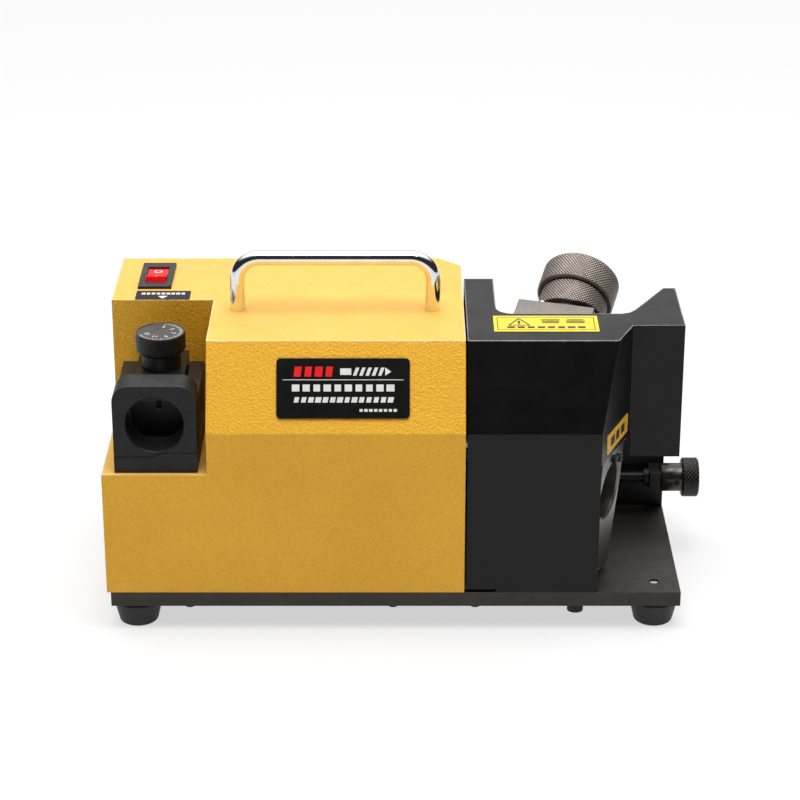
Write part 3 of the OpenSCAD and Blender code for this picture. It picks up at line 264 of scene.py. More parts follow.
def powder_coat(name, colour, grain, depth, roughness, specular, edge_abrasion_and_highlight, highlight_and_abrasion_strength, top_light=0.0):
    """Textured powder coat on bent sheet; paler on top as painted light from above, and a painted
    highlight along its upper edges, partly abraded paint.
    """
    p = Paint(name)
    rounded, edges = p.soft_edges(1.0)
    wrinkle = p.noise(grain, 3.0, 0.55)
    fine = p.noise(grain * 2.6, 2.0)
    peel = p.math("ADD", wrinkle, p.math("MULTIPLY", fine, 0.4))
    normal = p.bump(peel, depth, rounded)
    base = p.mix(p.span(p.noise(14.0, 4.0), 0.3, 0.7), shade(colour, 0.94), shade(colour, 1.05))
    # Painted shade: darker in the low spots of the wrinkle's bump.
    base = p.mix(p.span(wrinkle, 0.6, 0.38, 0.0, 0.18), base, shade(colour, 0.55))
    specks = p.span(p.noise(420.0, 2.0), 0.76, 0.8)
    base = p.mix(p.math("MULTIPLY", specks, 0.3), base, shade(colour, 0.5))
    # Painted light: upward faces paled in patches, standing for the overhead lamp brightening the tops.
    top_light_patches = p.span(p.noise(70.0, 3.0), 0.3, 0.7, top_light * 0.7, top_light)
    base = p.mix(p.math("MULTIPLY", p.upward(), top_light_patches), base, rgb(0.9, 0.78, 0.55))
    # Painted highlight along upward-facing edges, where the overhead lamp gleams on the bends; partly
    # abraded paint.
    abraded_and_highlit = p.math("MULTIPLY", edges, p.span(p.noise(55.0, 4.0), 0.3, 0.7, 0.5, 1.0))
    abraded_and_highlit = p.math("MULTIPLY", abraded_and_highlit, p.upward(0.5, 0.8, rounded))
    base = p.mix(p.math("MULTIPLY", abraded_and_highlit, highlight_and_abrasion_strength), base, edge_abrasion_and_highlight)
    rough = p.span(p.noise(60.0, 3.0), 0.3, 0.7, roughness - 0.06, roughness + 0.06)
    return p.finish(base, rough, normal, specular=specular)


def bare_steel(name, colour, roughness, scratch=1.0, edge_abrasion_and_highlight=0.5, metallic=1.0, stretch=(1, 1, 1),
               knurled=False, specular=0.5):
    """Machined or blackened steel with fine marks, lighter edges (abrasion and painted highlight), and
    knurls painted dark in the grooves (dirt and painted shade) and light on the ridges (painted
    highlight).
    """
    p = Paint(name)
    normal, edges = p.soft_edges(0.4)
    marks = p.noise(900.0, 4.0, 0.7, stretch)
    normal = p.bump(marks, 0.02 * scratch, normal)
    patches = p.noise(45.0, 5.0, 0.65)
    base = p.mix(p.span(patches, 0.3, 0.7), shade(colour, 0.78), shade(colour, 1.2))
    bright = shade(colour, 2.0)
    # Lighter edges: partly abrasion, partly a painted highlight on the edges.
    abraded_and_highlit = p.math("MULTIPLY", edges, p.span(p.noise(90.0, 3.0), 0.3, 0.7))
    base = p.mix(p.math("MULTIPLY", abraded_and_highlit, edge_abrasion_and_highlight), base, bright)
    rough = p.span(p.noise(300.0, 4.0), 0.3, 0.7, roughness - 0.08, roughness + 0.1)
    if knurled:
        relief = p.add("ShaderNodeAttribute", attribute_name="relief").outputs["Fac"]
        # Painted shade in the knurl's grooves, partly dirt: the lower the relief, the darker.
        base = p.mix(p.span(relief, 0.7, 0.15, 0.0, 0.92), base, shade(colour, 0.08))
        # Painted highlight on the knurl's ridges: the higher the relief, the lighter.
        base = p.mix(p.span(relief, 0.72, 1.0, 0.0, 0.7), base, shade(colour, 1.9))
    return p.finish(base, rough, normal, metallic=metallic, specular=specular)


def casting(name, colour, roughness, grain=500.0, depth=0.06, metallic=0.6, sparkle=0.0):
    """Cast or blasted metal: a fine rough grain, with a few bright glints."""
    p = Paint(name)
    normal, edges = p.soft_edges(0.5)
    grit = p.noise(grain, 4.0, 0.7)
    normal = p.bump(grit, depth, normal)
    base = p.mix(p.span(p.noise(50.0, 4.0), 0.3, 0.7), shade(colour, 0.8), shade(colour, 1.2))
    glints = p.span(p.noise(2300.0, 1.0), 0.68, 0.74)
    base = p.mix(p.math("MULTIPLY", glints, sparkle), base, rgb(0.75, 0.73, 0.7))
    abraded_and_highlit = p.math("MULTIPLY", edges, p.span(p.noise(80.0, 3.0), 0.35, 0.7))
    base = p.mix(p.math("MULTIPLY", abraded_and_highlit, 0.35), base, shade(colour, 1.8))
    rough = p.span(grit, 0.3, 0.7, roughness - 0.08, roughness + 0.08)
    return p.finish(base, rough, normal, metallic=metallic)


def moulded(name, colour, roughness, grain=900.0, depth=0.015, specular=0.5):
    """Moulded plastic or rubber with a slight grain and dust."""
    p = Paint(name)
    normal, edges = p.soft_edges(0.5)
    normal = p.bump(p.noise(grain, 3.0), depth, normal)
    base = p.mix(p.span(p.noise(70.0, 4.0), 0.35, 0.7), shade(colour, 0.85), shade(colour, 1.2))
    base = p.mix(p.math("MULTIPLY", edges, 0.15), base, shade(colour, 2.5))
    rough = p.span(p.noise(120.0, 3.0), 0.3, 0.7, roughness - 0.07, roughness + 0.07)
    return p.finish(base, rough, normal, specular=specular)


def chrome(name):
    """Bright plating with faint smears."""
    p = Paint(name)
    smear = p.noise(60.0, 5.0, 0.6)
    base = p.mix(p.span(smear, 0.3, 0.7), rgb(0.72, 0.72, 0.74), rgb(0.86, 0.86, 0.87))
    normal = p.bump(p.noise(220.0, 2.0), 0.004)
    return p.finish(base, p.span(smear, 0.3, 0.75, 0.05, 0.16), normal, metallic=1.0)


def printed(name, colour, roughness=0.45, specular=0.35):
    """Printed film or ink, a little uneven."""
    p = Paint(name)
    base = p.mix(p.span(p.noise(180.0, 3.0), 0.3, 0.7), shade(colour, 0.92), shade(colour, 1.04))
    normal = p.bump(p.noise(700.0, 2.0), 0.006)
    rough = p.span(p.noise(90.0, 3.0), 0.3, 0.7, roughness - 0.05, roughness + 0.05)
    return p.finish(base, rough, normal, specular=specular)


def grit_wheel(name):
    """Bonded abrasive: coarse grains, some of them bright."""
    p = Paint(name)
    grains = p.cells(1300.0)
    normal = p.bump(grains, 0.12)
    base = p.mix(p.span(grains, 0.1, 0.7), rgb(0.24, 0.26, 0.17), rgb(0.1, 0.11, 0.07))
    base = p.mix(p.span(p.noise(1100.0, 2.0), 0.66, 0.72), base, rgb(0.5, 0.5, 0.42))
    return p.finish(base, 0.8, normal, metallic=0.2)


def windings(name):
    """Varnished copper wire laid side by side round the shaft."""
    p = Paint(name)
    wave = p.add("ShaderNodeTexWave", wave_type="BANDS", bands_direction="X")
    p.put(wave.inputs["Vector"], p.place)
    wave.inputs["Scale"].default_value = 330.0
    wave.inputs["Distortion"].default_value = 3.0
    normal = p.bump(wave.outputs["Fac"], 0.2)
    # Painted shade and highlight: darker in the hollows between turns, lighter on their crests.
    base = p.mix(wave.outputs["Fac"], rgb(0.22, 0.07, 0.025), rgb(0.55, 0.2, 0.08))
    return p.finish(base, 0.35, normal, metallic=0.7)


def make_materials():
    """Every look by name."""
    black_oxide = rgb(0.012, 0.012, 0.0125)
    return {
        # The yellow coat's last number, 0.16, paints its tops paler: painted light from above.
        "yellow_coat": powder_coat("yellow_coat", rgb(0.88, 0.455, 0.024), 740.0, 0.8, 0.4, 0.36,
                                   # Near-white colour and 1.0 here, grey and 0.9 for the black coat:
                                   # painted highlight along the upper edges, partly abraded paint.
                                   rgb(1.0, 0.95, 0.75), 1.0, 0.16),
        "black_coat": powder_coat("black_coat", rgb(0.0045, 0.0045, 0.005), 900.0, 0.03, 0.3, 0.2,
                                  rgb(0.55, 0.55, 0.55), 0.9),
        "plate_steel": bare_steel("plate_steel", rgb(0.03, 0.024, 0.021), 0.5, 3.0, 0.45, 0.35,
                                  (1.0, 6.0, 1.0)),
        "black_oxide": bare_steel("black_oxide", black_oxide, 0.45, 1.5, 0.9, 0.3, specular=0.32),
        "black_knurl": bare_steel("black_knurl", rgb(0.062, 0.058, 0.056), 0.3, 1.5, 0.7, 0.8,
                                  knurled=True),
        "black_machined": bare_steel("black_machined", rgb(0.03, 0.03, 0.031), 0.36, 2.0, 0.8, 0.7),
        "zinc_plate": bare_steel("zinc_plate", rgb(0.42, 0.42, 0.43), 0.3, 1.0, 0.3),
        "ground_steel": bare_steel("ground_steel", rgb(0.55, 0.54, 0.52), 0.22, 1.0, 0.2, 1.0,
                                   (0.2, 6.0, 6.0)),
        "chuck_steel": bare_steel("chuck_steel", rgb(0.42, 0.36, 0.315), 0.46, 2.0, 0.3, 0.75,
                                  knurled=True),
        "port_casting": casting("port_casting", rgb(0.14, 0.13, 0.125), 0.36, 600.0, 0.03, 0.8),
        "dark_casting": casting("dark_casting", rgb(0.02, 0.02, 0.02), 0.55),
        "holder_casting": casting("holder_casting", rgb(0.2, 0.18, 0.165), 0.6, 900.0, 0.05, 0.35, 0.6),
        "die_casting": casting("die_casting", rgb(0.5, 0.5, 0.51), 0.45),
        "ferrite": casting("ferrite", rgb(0.05, 0.05, 0.055), 0.7, metallic=0.1),
        "laminations": bare_steel("laminations", rgb(0.2, 0.19, 0.18), 0.5, 3.0, 0.3, 0.9,
                                  (12.0, 1.0, 1.0)),
        "carbon": moulded("carbon", rgb(0.02, 0.02, 0.022), 0.6),
        "brass": bare_steel("brass", rgb(0.6, 0.4, 0.13), 0.35, 1.0, 0.4),
        "copper": bare_steel("copper", rgb(0.62, 0.27, 0.13), 0.3, 1.0, 0.4),
        "windings": windings("windings"),
        "rubber": moulded("rubber", rgb(0.012, 0.012, 0.013), 0.55, 700.0, 0.03, 0.35),
        "black_plastic": moulded("black_plastic", rgb(0.012, 0.012, 0.013), 0.4, specular=0.35),
        "red_plastic": moulded("red_plastic", rgb(0.82, 0.008, 0.007), 0.3, 400.0, 0.004, 0.3),
        "circuit_board": moulded("circuit_board", rgb(0.03, 0.2, 0.07), 0.4),
        "chrome": chrome("chrome"),
        "grit": grit_wheel("grit"),
        # Black ink; on the knob's hub it is also the painted shade of the set screw's hole.
        "black_print_and_hole_shade": printed("black_print_and_hole_shade", rgb(0.006, 0.006, 0.006), 0.4, 0.15),
        "white_print": printed("white_print", rgb(0.72, 0.72, 0.7)),
        "red_print": printed("red_print", rgb(0.78, 0.012, 0.012)),
        "yellow_print": printed("yellow_print", rgb(0.72, 0.56, 0.03)),
        "amber_print": printed("amber_print", rgb(0.75, 0.4, 0.03)),
        "grey_print": printed("grey_print", rgb(0.03, 0.026, 0.014)),
    }


# Which CAD nodes wear which look
NODE_LOOKS = {
    "yellow_coat": ["motor_cover"],
    "black_coat": ["wheel_guard", "partition", "motor_bracket", "motor_can"],
    "plate_steel": ["base_plate"],
    "black_oxide": ["plate_bolts", "point_port_pins", "gauge_bore_block", "gauge_base", "gauge_stem",
                    "gauge_screws", "gauge_stop", "cover_screws", "motor_bracket_screws",
                    "feed_screw", "feed_knob", "gauge_dial", "knob_set_screw", "feed_bracket"],
    "black_machined": ["gauge_rails", "gauge_bridge"],
    "zinc_plate": ["foot_screws", "clinch_nuts", "handle_screws", "board_standoffs", "wheel_washer",
                   "wheel_nut"],
    "ground_steel": ["motor_shaft", "motor_bearings", "wheel_hub", "grinding_wheel", "thinning_pin",
                     "collet"],
    "chuck_steel": ["chuck_body", "chuck_cap"],
    "port_casting": ["point_port"],
    "dark_casting": ["thinning_base", "thinning_carriage"],
    "holder_casting": ["thinning_holder"],
    "die_casting": ["motor_front_bell", "motor_rear_bell"],
    "ferrite": ["motor_magnets"],
    "laminations": ["armature_core"],
    "carbon": ["carbon_brushes"],
    "brass": ["brush_holders"],
    "copper": ["commutator"],
    "windings": ["armature_windings"],
    "rubber": ["rubber_feet"],
    "black_plastic": ["switch_body", "cable_gland", "gland_nut"],
    "red_plastic": ["switch_rocker"],
    "circuit_board": ["control_board"],
    "chrome": ["carry_handle"],
    "grit": ["abrasive_ring"],
    "black_print_and_hole_shade": ["nameplate", "dial_pointer_label"],
    "yellow_print": ["warning_plate"],
    "amber_print": ["port_plate_label"],
}


def dress_nodes(looks):
    """Give every CAD node its material."""
    for look, names in NODE_LOOKS.items():
        for name in names:
            mesh = NODES[name].data
            mesh.materials.clear()
            mesh.materials.append(looks[look])


# ------------------------------------------------------------------ shapes


def new_piece(name, verts, faces, place, material, body="frame", node=None, smooth=None, relief=None):
    """A mesh piece from local millimetre points, riding on a CAD body."""
    mesh = bpy.data.meshes.new(name)
    mesh.from_pydata([place @ Vector(v) for v in verts], [], faces)
    mesh.materials.append(material)
    if relief:
        mesh.attributes.new("relief", "FLOAT", "POINT").data.foreach_set("value", relief)
    made = bmesh.new()
    made.from_mesh(mesh)
    bmesh.ops.remove_doubles(made, verts=made.verts, dist=1e-6)
    bmesh.ops.recalc_face_normals(made, faces=made.faces)
    made.to_mesh(mesh)
    made.free()
    piece = bpy.data.objects.new(name, mesh)
    bpy.context.collection.objects.link(piece)
    if smooth is not None:
        mesh.shade_smooth()
        mesh.set_sharp_from_angle(angle=math.radians(smooth))
    if node:
        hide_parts(node)
    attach(piece, body)
    return piece


def lathe(rings, count):
    """Vertices, quads and relief of a closed solid of revolution about Z.

    rings is a list of functions from angle to (radius, z, relief), from one end of the profile's
    loop round to the other. Relief is 1 on the full surface and 0 at the foot of a groove.
    """
    verts, relief = [], []
    for ring in rings:
        for i in range(count):
            angle = 2 * math.pi * i / count
            radius, z, height = ring(angle)
            verts.append((radius * math.cos(angle), radius * math.sin(angle), z))
            relief.append(height)
    faces = []
    total = len(rings)
    for j in range(total):
        below, above = j * count, (j + 1) % total * count
        for i in range(count):
            k = (i + 1) % count
            faces.append((below + i, below + k, above + k, above + i))
    return verts, faces, relief


def plain_ring(radius, z):
    """A smooth ring with a middling relief, so it takes neither the painted groove shade with its dirt
    nor the painted ridge highlight.
    """
    return lambda angle: (radius, z, 0.7)


def ridge(x):
    """Height of a pointed ridge that repeats once per unit."""
    part = x % 1.0
    return 1.0 - abs(2.0 * part - 1.0)


def knurl_rings(radius, z0, z1, pitch, depth, count, low_edge=None):
    """Rings of a diamond knurl: two sets of crossing grooves cut into a cylinder."""
    rows = max(2, round((z1 - z0) / pitch * STEPS_ALONG))

    def ring(j):
        def at_angle(angle):
            start = z0 + (low_edge(angle) if low_edge else 0.0)
            z = start + (z1 - start) * j / rows
            along = z / pitch / 2
            round_it = angle * count / (2 * math.pi) / 2
            height = min(ridge(round_it + along), ridge(round_it - along))
            return radius - depth * (1.0 - height), z, height
        return at_angle

    return [ring(j) for j in range(rows + 1)]


def knurled_piece(name, rings, diamonds, place, material, node, body):
    """A turned piece that replaces a CAD node, with so many diamonds round it."""
    verts, faces, relief = lathe(rings, diamonds * STEPS_ROUND)
    new_piece(name, verts, faces, place, material, body, node, 50, relief)


def chuck_place():
    """Frame of the chuck: its axis is Z, with the cap above Z = 0 and the flange below."""
    rotation = turn(-CHUCK_AZIMUTH, "Z") @ turn(-(90 - CHUCK_RISE), "X")
    return machine_frame(CHUCK_RIM, rotation)


def make_chuck_cap(material):
    """Knurled cap of the chuck, hollow below and with the drill's hole through its top."""
    r, top = CAP_RADIUS, CAP_LENGTH
    diamonds = 150
    rings = [
        plain_ring(THREAD_RADIUS, 0.6),
        plain_ring(r - 2.6, 0.6),
        plain_ring(r - 2.2, 0.0),
        plain_ring(r - 0.9, 0.0),
        plain_ring(r - 0.5, 0.35),
    ]
    rings += knurl_rings(r, 0.7, top - 1.5, 0.95, 0.42, diamonds)
    rings += [
        plain_ring(r - 0.6, top - 1.1),
        plain_ring(r - 1.5, top),
        plain_ring(CAP_HOLE_RADIUS + 0.7, top),
        plain_ring(CAP_HOLE_RADIUS, top - 0.7),
        plain_ring(CAP_HOLE_RADIUS, top - CAP_WALL),
        plain_ring(THREAD_RADIUS, top - CAP_WALL),
    ]
    place = chuck_place()
    knurled_piece("chuck_cap_knurled", rings, diamonds, place, material, "chuck_cap", "chuck_cap")


def make_chuck_body(material):
    """Sleeve and knurled flange of the chuck; the flange's lower edge is a smooth cam.

    The CAD flange has two square grooves there instead.
    """
    sleeve = SLEEVE_RADIUS
    low = -FLANGE_LENGTH
    diamonds = 130
    bore_bottom = -14.0
    nose_top = 11.0
    bore = 8.7

    def cam(angle):
        lobe = 0.5 + 0.5 * math.cos(2 * (angle - math.radians(CAM_ANGLE)))
        return CAM_CUT * max(0.0, lobe - CAM_REST) / (1.0 - CAM_REST)

    rings = [
        plain_ring(10.7, SLEEVE_END),
        plain_ring(sleeve - 2, SLEEVE_END),
        plain_ring(sleeve, SLEEVE_END + 4.0),
        plain_ring(sleeve, low),
        # Relief 0 and 0.2 round the cam's underside paint it dark through the groove colour: painted
        # shade in the gap under the flange.
        lambda angle: (sleeve + 0.1, low + cam(angle), 0.0),
        lambda angle: (FLANGE_RADIUS - 0.7, low + cam(angle), 0.2),
    ]
    rings += knurl_rings(FLANGE_RADIUS, low + 0.5, -0.8, 0.95, 0.4, diamonds, low_edge=cam)
    rings += [
        plain_ring(FLANGE_RADIUS - 0.6, -0.2),
        plain_ring(15.0, -0.2),
        plain_ring(15.0, nose_top),
        plain_ring(bore, nose_top),
        plain_ring(bore, bore_bottom),
    ]
    place = chuck_place()
    knurled_piece("chuck_body_knurled", rings, diamonds, place, material, "chuck_body", "chuck")


def make_feed_knob(material):
    """Feed knob: a plain hub and a diamond-knurled head."""
    r = KNOB_RADIUS
    diamonds = 66
    rings = [
        plain_ring(FEED_SCREW_HOLE_RADIUS, 0.0),
        plain_ring(HUB_RADIUS - 0.4, 0.0),
        plain_ring(HUB_RADIUS, 0.4),
        plain_ring(HUB_RADIUS, HUB_LENGTH),
        plain_ring(r - 1.0, HUB_LENGTH),
    ]
    rings += knurl_rings(r, HUB_LENGTH + 0.8, KNOB_LENGTH - 0.8, 1.05, 0.42, diamonds)
    rings += [
        plain_ring(r - 1.0, KNOB_LENGTH),
        plain_ring(0.01, KNOB_LENGTH),
        plain_ring(0.01, 12.0),
        plain_ring(FEED_SCREW_HOLE_RADIUS, 12.0),
    ]
    place = machine_frame(KNOB_START, turn(90, "Y"))
    knurled_piece("feed_knob_knurled", rings, diamonds, place, material, "feed_knob", "feed")


def make_knob_hole_shade(material):
    """Dark disc on the knob's hub where the CAD knob has its set screw's hole: painted shade in place
    of the hole.
    """
    rim = circle(SET_SCREW_RADIUS, HOLE_STEPS)
    place = machine_frame(KNOB_START + Vector((8.6, -7.6, 0.0)), turn(90, "X"))
    prints("knob_hole_shade", [rim], place, material, "feed", 0.34)


def make_dial(material):
    """Gauge dial: bevelled lower edge, fine knurl and a flat rimmed top."""
    r, h = DIAL_RADIUS, DIAL_HEIGHT
    diamonds = 96
    rings = [
        plain_ring(STEM_HOLE_RADIUS, 0.0),
        plain_ring(r - 2.4, 0.0),
    ]
    rings += knurl_rings(r, 2.4, h - 0.9, 0.87, 0.34, diamonds)
    rings += [
        plain_ring(r - 0.25, h - 0.7),
        plain_ring(r - 0.6, h),
        plain_ring(r - 1.3, h),
        plain_ring(r - 1.3, h - DIAL_RIM),
        plain_ring(0.01, h - DIAL_RIM),
        plain_ring(0.01, 6.0),
        plain_ring(STEM_HOLE_RADIUS, 6.0),
    ]
    place = machine_frame(DIAL_CENTRE - Vector((0, 0, h)), Matrix.Identity(3))
    knurled_piece("gauge_dial_knurled", rings, diamonds, place, material, "gauge_dial", "gauge_dial")


# ------------------------------------------------------------------ prints


def circle(radius, count):
    """Points round a circle."""
    angles = [2 * math.pi * i / count for i in range(count)]
    return [(radius * math.cos(a), radius * math.sin(a)) for a in angles]


def slab(outline, thickness=PRINT):
    """Vertices and faces of a thin flat print with the given outline, lying on Z = 0."""
    n = len(outline)
    verts = [(x, y, 0.0) for x, y in outline] + [(x, y, thickness) for x, y in outline]
    faces = [tuple(range(n))[::-1], tuple(range(n, 2 * n))]
    faces += [(i, (i + 1) % n, n + (i + 1) % n, n + i) for i in range(n)]
    return verts, faces


def bar(x, y, w, h):
    """Outline of a rectangle about a point."""
    left, right = x - w / 2, x + w / 2
    low, high = y - h / 2, y + h / 2
    return [(left, low), (right, low), (right, high), (left, high)]


def prints(name, outlines, place, material, body="frame", thickness=PRINT):
    """Several thin prints as one piece."""
    verts, faces = [], []
    for outline in outlines:
        v, f = slab(outline, thickness)
        faces += [tuple(len(verts) + i for i in face) for face in f]
        verts += v
    return new_piece(name, verts, faces, place, material, body)


def frame_lines(w, h, line):
    """Four bars along a rectangle's edges."""
    return [
        bar(0, h / 2, w + line, line),
        bar(0, -h / 2, w + line, line),
        bar(w / 2, 0, line, h - line),
        bar(-w / 2, 0, line, h - line),
    ]


def drill_icon(x, y, length, width):
    """A drill bit drawn as slanted flutes between a shank and a point."""
    flutes = 5
    body = length * 0.62
    step = body / flutes
    half = width / 2
    start = x - length / 2 + length * 0.25
    shapes = [bar(x - length / 2 + length * 0.11, y, length * 0.22, width * 0.8)]
    for i in range(flutes):
        left = start + i * step
        shapes.append([
            (left, y - half),
            (left + step * 0.55, y - half),
            (left + step * 1.05, y + half),
            (left + step * 0.5, y + half),
        ])
    tip = start + body + step * 0.15
    shapes.append([(tip, y - half), (tip + width * 0.75, y), (tip, y + half)])
    return shapes


def dashes(x, y, total, height, count, slant=0.0):
    """A row of short blocks that stands for a line of print."""
    shapes = []
    step = total / count
    for i in range(count):
        width = step * random.uniform(0.62, 0.8)
        middle = x - total / 2 + step * (i + 0.5)
        left, right = middle - width / 2, middle + width / 2
        low, high = y - height / 2, y + height / 2
        shapes.append([(left, low), (right, low), (right + slant, high), (left + slant, high)])
    return shapes


def triangle_sign(x, y, w, h):
    """Outline triangle with a mark in it, as separate bars."""
    line = 0.85
    top, left, right = (x, y + h / 2), (x - w / 2, y - h / 2), (x + w / 2, y - h / 2)

    def stroke(a, b):
        ax, ay = a
        bx, by = b
        dx, dy = bx - ax, by - ay
        size = math.hypot(dx, dy)
        nx, ny = -dy / size * line / 2, dx / size * line / 2
        return [(ax - nx, ay - ny), (bx - nx, by - ny), (bx + nx, by + ny), (ax + nx, ay + ny)]

    return [
        stroke(top, left),
        stroke(left, right),
        stroke(right, top),
        bar(x, y - h * 0.02, 1.3, h * 0.36),
        bar(x, y - h * 0.33, 1.3, 1.1),
    ]


def print_nameplate(looks):
    """Red blocks, a drill pictogram, a rule and rows of blocks, in place of words."""
    place = machine_frame((-27.0, 0.0, BEND_HEIGHT), turn(90 - LEAN, "X"))
    face = place @ Matrix.Translation((0, 23.6, 0.8))
    white = looks["white_print"]
    prints("nameplate_red", dashes(-15.5, 8.6, 21.5, 5.2, 4, 0.6), face, looks["red_print"])
    prints("nameplate_drill", drill_icon(11.5, 8.6, 26.0, 4.2), face, white)
    prints("nameplate_rule", [bar(0.0, 4.4, 62.0, 0.35)], face, white)
    rows = dashes(0.0, 0.2, 54.0, 3.6, 10) + dashes(0.0, -5.9, 52.0, 2.8, 14, 0.6)
    rows += dashes(18.0, -11.3, 20.0, 1.4, 8)
    prints("nameplate_rows", rows, face, white)


def print_warning(looks):
    """Warning triangle, border and rows of blocks."""
    place = machine_frame((78.3, 45.0, COVER_TOP + 0.3), Matrix.Identity(3))
    ink = looks["grey_print"]
    prints("warning_border", frame_lines(50.5, 17.5, 0.4), place, ink)
    prints("warning_triangle", triangle_sign(-14.0, 2.3, 11.0, 9.5), place, ink)
    blocks = dashes(0.0, -5.3, 42.0, 2.6, 8)
    for y in (1.2, 3.2, 5.2):
        blocks += dashes(9.0, y, 26.0, 1.2, 2)
    prints("warning_blocks", blocks, place, ink)


def print_port_label(looks):
    """Three blocks in place of words, on the slanted panel's small label."""
    rotation = turn(-PORT_YAW, "Z") @ turn(90, "Z") @ turn(90, "X")
    place = machine_frame((GUARD_CORNER, 0.0, 0.0), rotation)
    face = place @ Matrix.Translation((25.0, 81.0, 0.3))
    marks = dashes(0.0, 0.0, 25.0, 5.0, 3)
    prints("port_label_marks", marks, face, looks["grey_print"])


def print_pointer(looks):
    """White arrow that points forward at the dial, with a row of blocks behind it."""
    place = machine_frame((-125.0, 86.8, COVER_TOP + 0.3), Matrix.Identity(3))
    arrow = [(-2.6, -1.6), (2.6, -1.6), (0.0, -5.4)]
    prints("pointer_arrow", [arrow] + dashes(0.0, 2.0, 24.0, 2.6, 9), place, looks["white_print"])


def print_rocker(looks):
    """Line on the rocker's raised half and ring on its pressed half."""
    pivot = machine_frame((-130.5, 115.0, 130.0), turn(-9, "X"))
    front = pivot @ Matrix.Translation((0, -5.5, 5.8)) @ Matrix.Rotation(math.radians(-6.3), 4, "X")
    back = pivot @ Matrix.Translation((0, 5.5, 5.8)) @ Matrix.Rotation(math.radians(6.3), 4, "X")
    prints("rocker_line", [bar(0, 0, 0.8, 3.6)], front, looks["white_print"], "rocker")
    count = CIRCLE_STEPS
    outer = circle(2.3, count)
    inner = [(x * 0.66, y * 0.66) for x, y in outer]
    quads = [[outer[i], outer[(i + 1) % count], inner[(i + 1) % count], inner[i]] for i in range(count)]
    prints("rocker_ring", quads, back, looks["white_print"], "rocker")


def print_dial(looks):
    """White ticks and the odd drill sizes round the dial's top."""
    top = machine_frame(DIAL_CENTRE - Vector((0, 0, DIAL_RIM)), Matrix.Identity(3))
    start, step = 80.0, -47.0
    sizes, smallest = 6, 3
    per_size = 10
    tick_end = 11.9
    number_radius = 7.0
    ticks = []
    for i in range(sizes * per_size - per_size + 1):
        angle = math.radians(start + i * step / per_size)
        inner = 9.6 if i % 5 == 0 else 10.5
        direction = Vector((math.cos(angle), math.sin(angle)))
        side = Vector((-math.sin(angle), math.cos(angle))) * 0.12
        a, b = direction * inner, direction * tick_end
        ticks.append([tuple(a - side), tuple(b - side), tuple(b + side), tuple(a + side)])
    prints("dial_ticks", ticks, top, looks["white_print"], "gauge_dial", DIAL_PRINT)
    for i in range(sizes):
        angle = math.radians(start + i * step)
        curve = bpy.data.curves.new(f"dial_number_{i}", "FONT")
        curve.body = str(2 * i + smallest)
        curve.size = 3.6
        curve.align_x = "CENTER"
        curve.align_y = "CENTER"
        curve.extrude = 0.02
        text = bpy.data.objects.new(f"dial_number_{i}", curve)
        bpy.context.collection.objects.link(text)
        mesh = bpy.data.meshes.new_from_object(text)
        bpy.data.objects.remove(text)
        spin = Matrix.Rotation(angle - math.pi / 2, 4, "Z")
        spot = (number_radius * math.cos(angle), number_radius * math.sin(angle), 0.03)
        move = Matrix.Translation(spot)
        mesh.transform(top @ move @ spin)
        mesh.materials.clear()
        mesh.materials.append(looks["white_print"])
        number = bpy.data.objects.new(f"dial_number_{i}", mesh)
        bpy.context.collection.objects.link(number)
        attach(number, "gauge_dial")


# ------------------------------------------------------------------ studio


def make_floor():
    """Plain white floor, lit a little from below as on a light table."""
    mesh = bpy.data.meshes.new("floor")
    size = FLOOR_HALF
    mesh.from_pydata([(-size, -size, 0), (size, -size, 0), (size, size, 0), (-size, size, 0)], [],
                     [(0, 1, 2, 3)])
    p = Paint("studio_floor")
    mesh.materials.append(p.finish(rgb(0.3, 0.3, 0.3), 0.7, specular=0.05))
    p.bsdf.inputs["Emission Color"].default_value = rgb(1.0, 1.0, 1.0)
    p.bsdf.inputs["Emission Strength"].default_value = FLOOR_GLOW
    floor = bpy.data.objects.new("floor", mesh)
    bpy.context.collection.objects.link(floor)


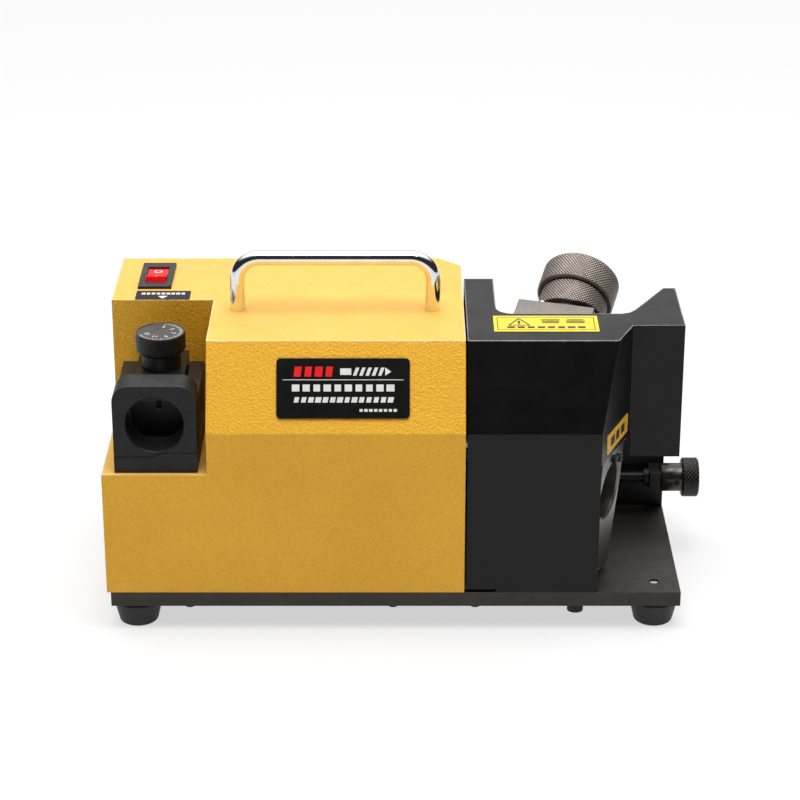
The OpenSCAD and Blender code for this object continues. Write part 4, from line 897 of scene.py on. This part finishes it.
def make_world():
    """White behind the machine; for light, a dome that is bright overhead and dark in front."""
    world = bpy.data.worlds.new("studio")
    world.use_nodes = True
    bpy.context.scene.world = world
    tree = world.node_tree
    background = tree.nodes["Background"]
    coordinates = tree.nodes.new("ShaderNodeTexCoord")
    lean = tree.nodes.new("ShaderNodeVectorMath")
    lean.operation = "DOT_PRODUCT"
    lean.inputs[1].default_value = (0.0, DOME_LEAN, 1.0)
    ramp = tree.nodes.new("ShaderNodeMapRange")
    ramp.interpolation_type = "SMOOTHSTEP"
    path = tree.nodes.new("ShaderNodeLightPath")
    mix = tree.nodes.new("ShaderNodeMix")
    mix.data_type = "FLOAT"
    tree.links.new(coordinates.outputs["Generated"], lean.inputs[0])
    tree.links.new(lean.outputs["Value"], ramp.inputs["Value"])
    ramp.inputs["From Min"].default_value = DOME_LOW
    ramp.inputs["From Max"].default_value = DOME_HIGH
    ramp.inputs["To Min"].default_value = DOME_DARK
    ramp.inputs["To Max"].default_value = DOME_BRIGHT
    tree.links.new(path.outputs["Is Camera Ray"], mix.inputs["Factor"])
    tree.links.new(ramp.outputs["Result"], mix.inputs["A"])
    mix.inputs["B"].default_value = 1.0
    tree.links.new(mix.outputs["Result"], background.inputs["Strength"])
    background.inputs["Color"].default_value = (1, 1, 1, 1)


def make_softbox():
    """One wide soft lamp over the front of the machine."""
    light = bpy.data.lights.new("softbox_top", "AREA")
    light.shape = "SQUARE"
    light.size = SOFTBOX_SIZE
    light.energy = SOFTBOX_POWER
    lamp = bpy.data.objects.new("softbox_top", light)
    lamp.location = SOFTBOX_PLACE
    aim = Vector(SOFTBOX_TARGET) - Vector(SOFTBOX_PLACE)
    lamp.rotation_mode = "QUATERNION"
    lamp.rotation_quaternion = aim.to_track_quat("-Z", "Y")
    bpy.context.collection.objects.link(lamp)


def make_camera():
    """Long lens from the front, looking down at the machine."""
    data = bpy.data.cameras.new("camera")
    data.sensor_width = CAMERA_SENSOR
    data.lens = CAMERA_LENS
    data.clip_start = 0.1
    data.clip_end = 50.0
    camera = bpy.data.objects.new("camera", data)
    camera.location = machine_point(*CAMERA_PLACE)
    camera.rotation_euler = (math.radians(90 - CAMERA_PITCH), 0, 0)
    bpy.context.collection.objects.link(camera)
    bpy.context.scene.camera = camera


def main():
    """Build the looks, the detailed pieces and the studio."""
    random.seed(RANDOM_SEED)
    looks = make_materials()
    dress_nodes(looks)
    make_chuck_cap(looks["chuck_steel"])
    make_chuck_body(looks["chuck_steel"])
    make_feed_knob(looks["black_knurl"])
    # Painted shade: a dark disc for the knob's set screw hole.
    make_knob_hole_shade(looks["black_print_and_hole_shade"])
    make_dial(looks["black_knurl"])
    print_nameplate(looks)
    print_warning(looks)
    print_port_label(looks)
    print_pointer(looks)
    print_rocker(looks)
    print_dial(looks)
    make_floor()
    make_world()
    make_softbox()
    make_camera()
    bpy.context.scene.view_settings.view_transform = "Standard"


main()
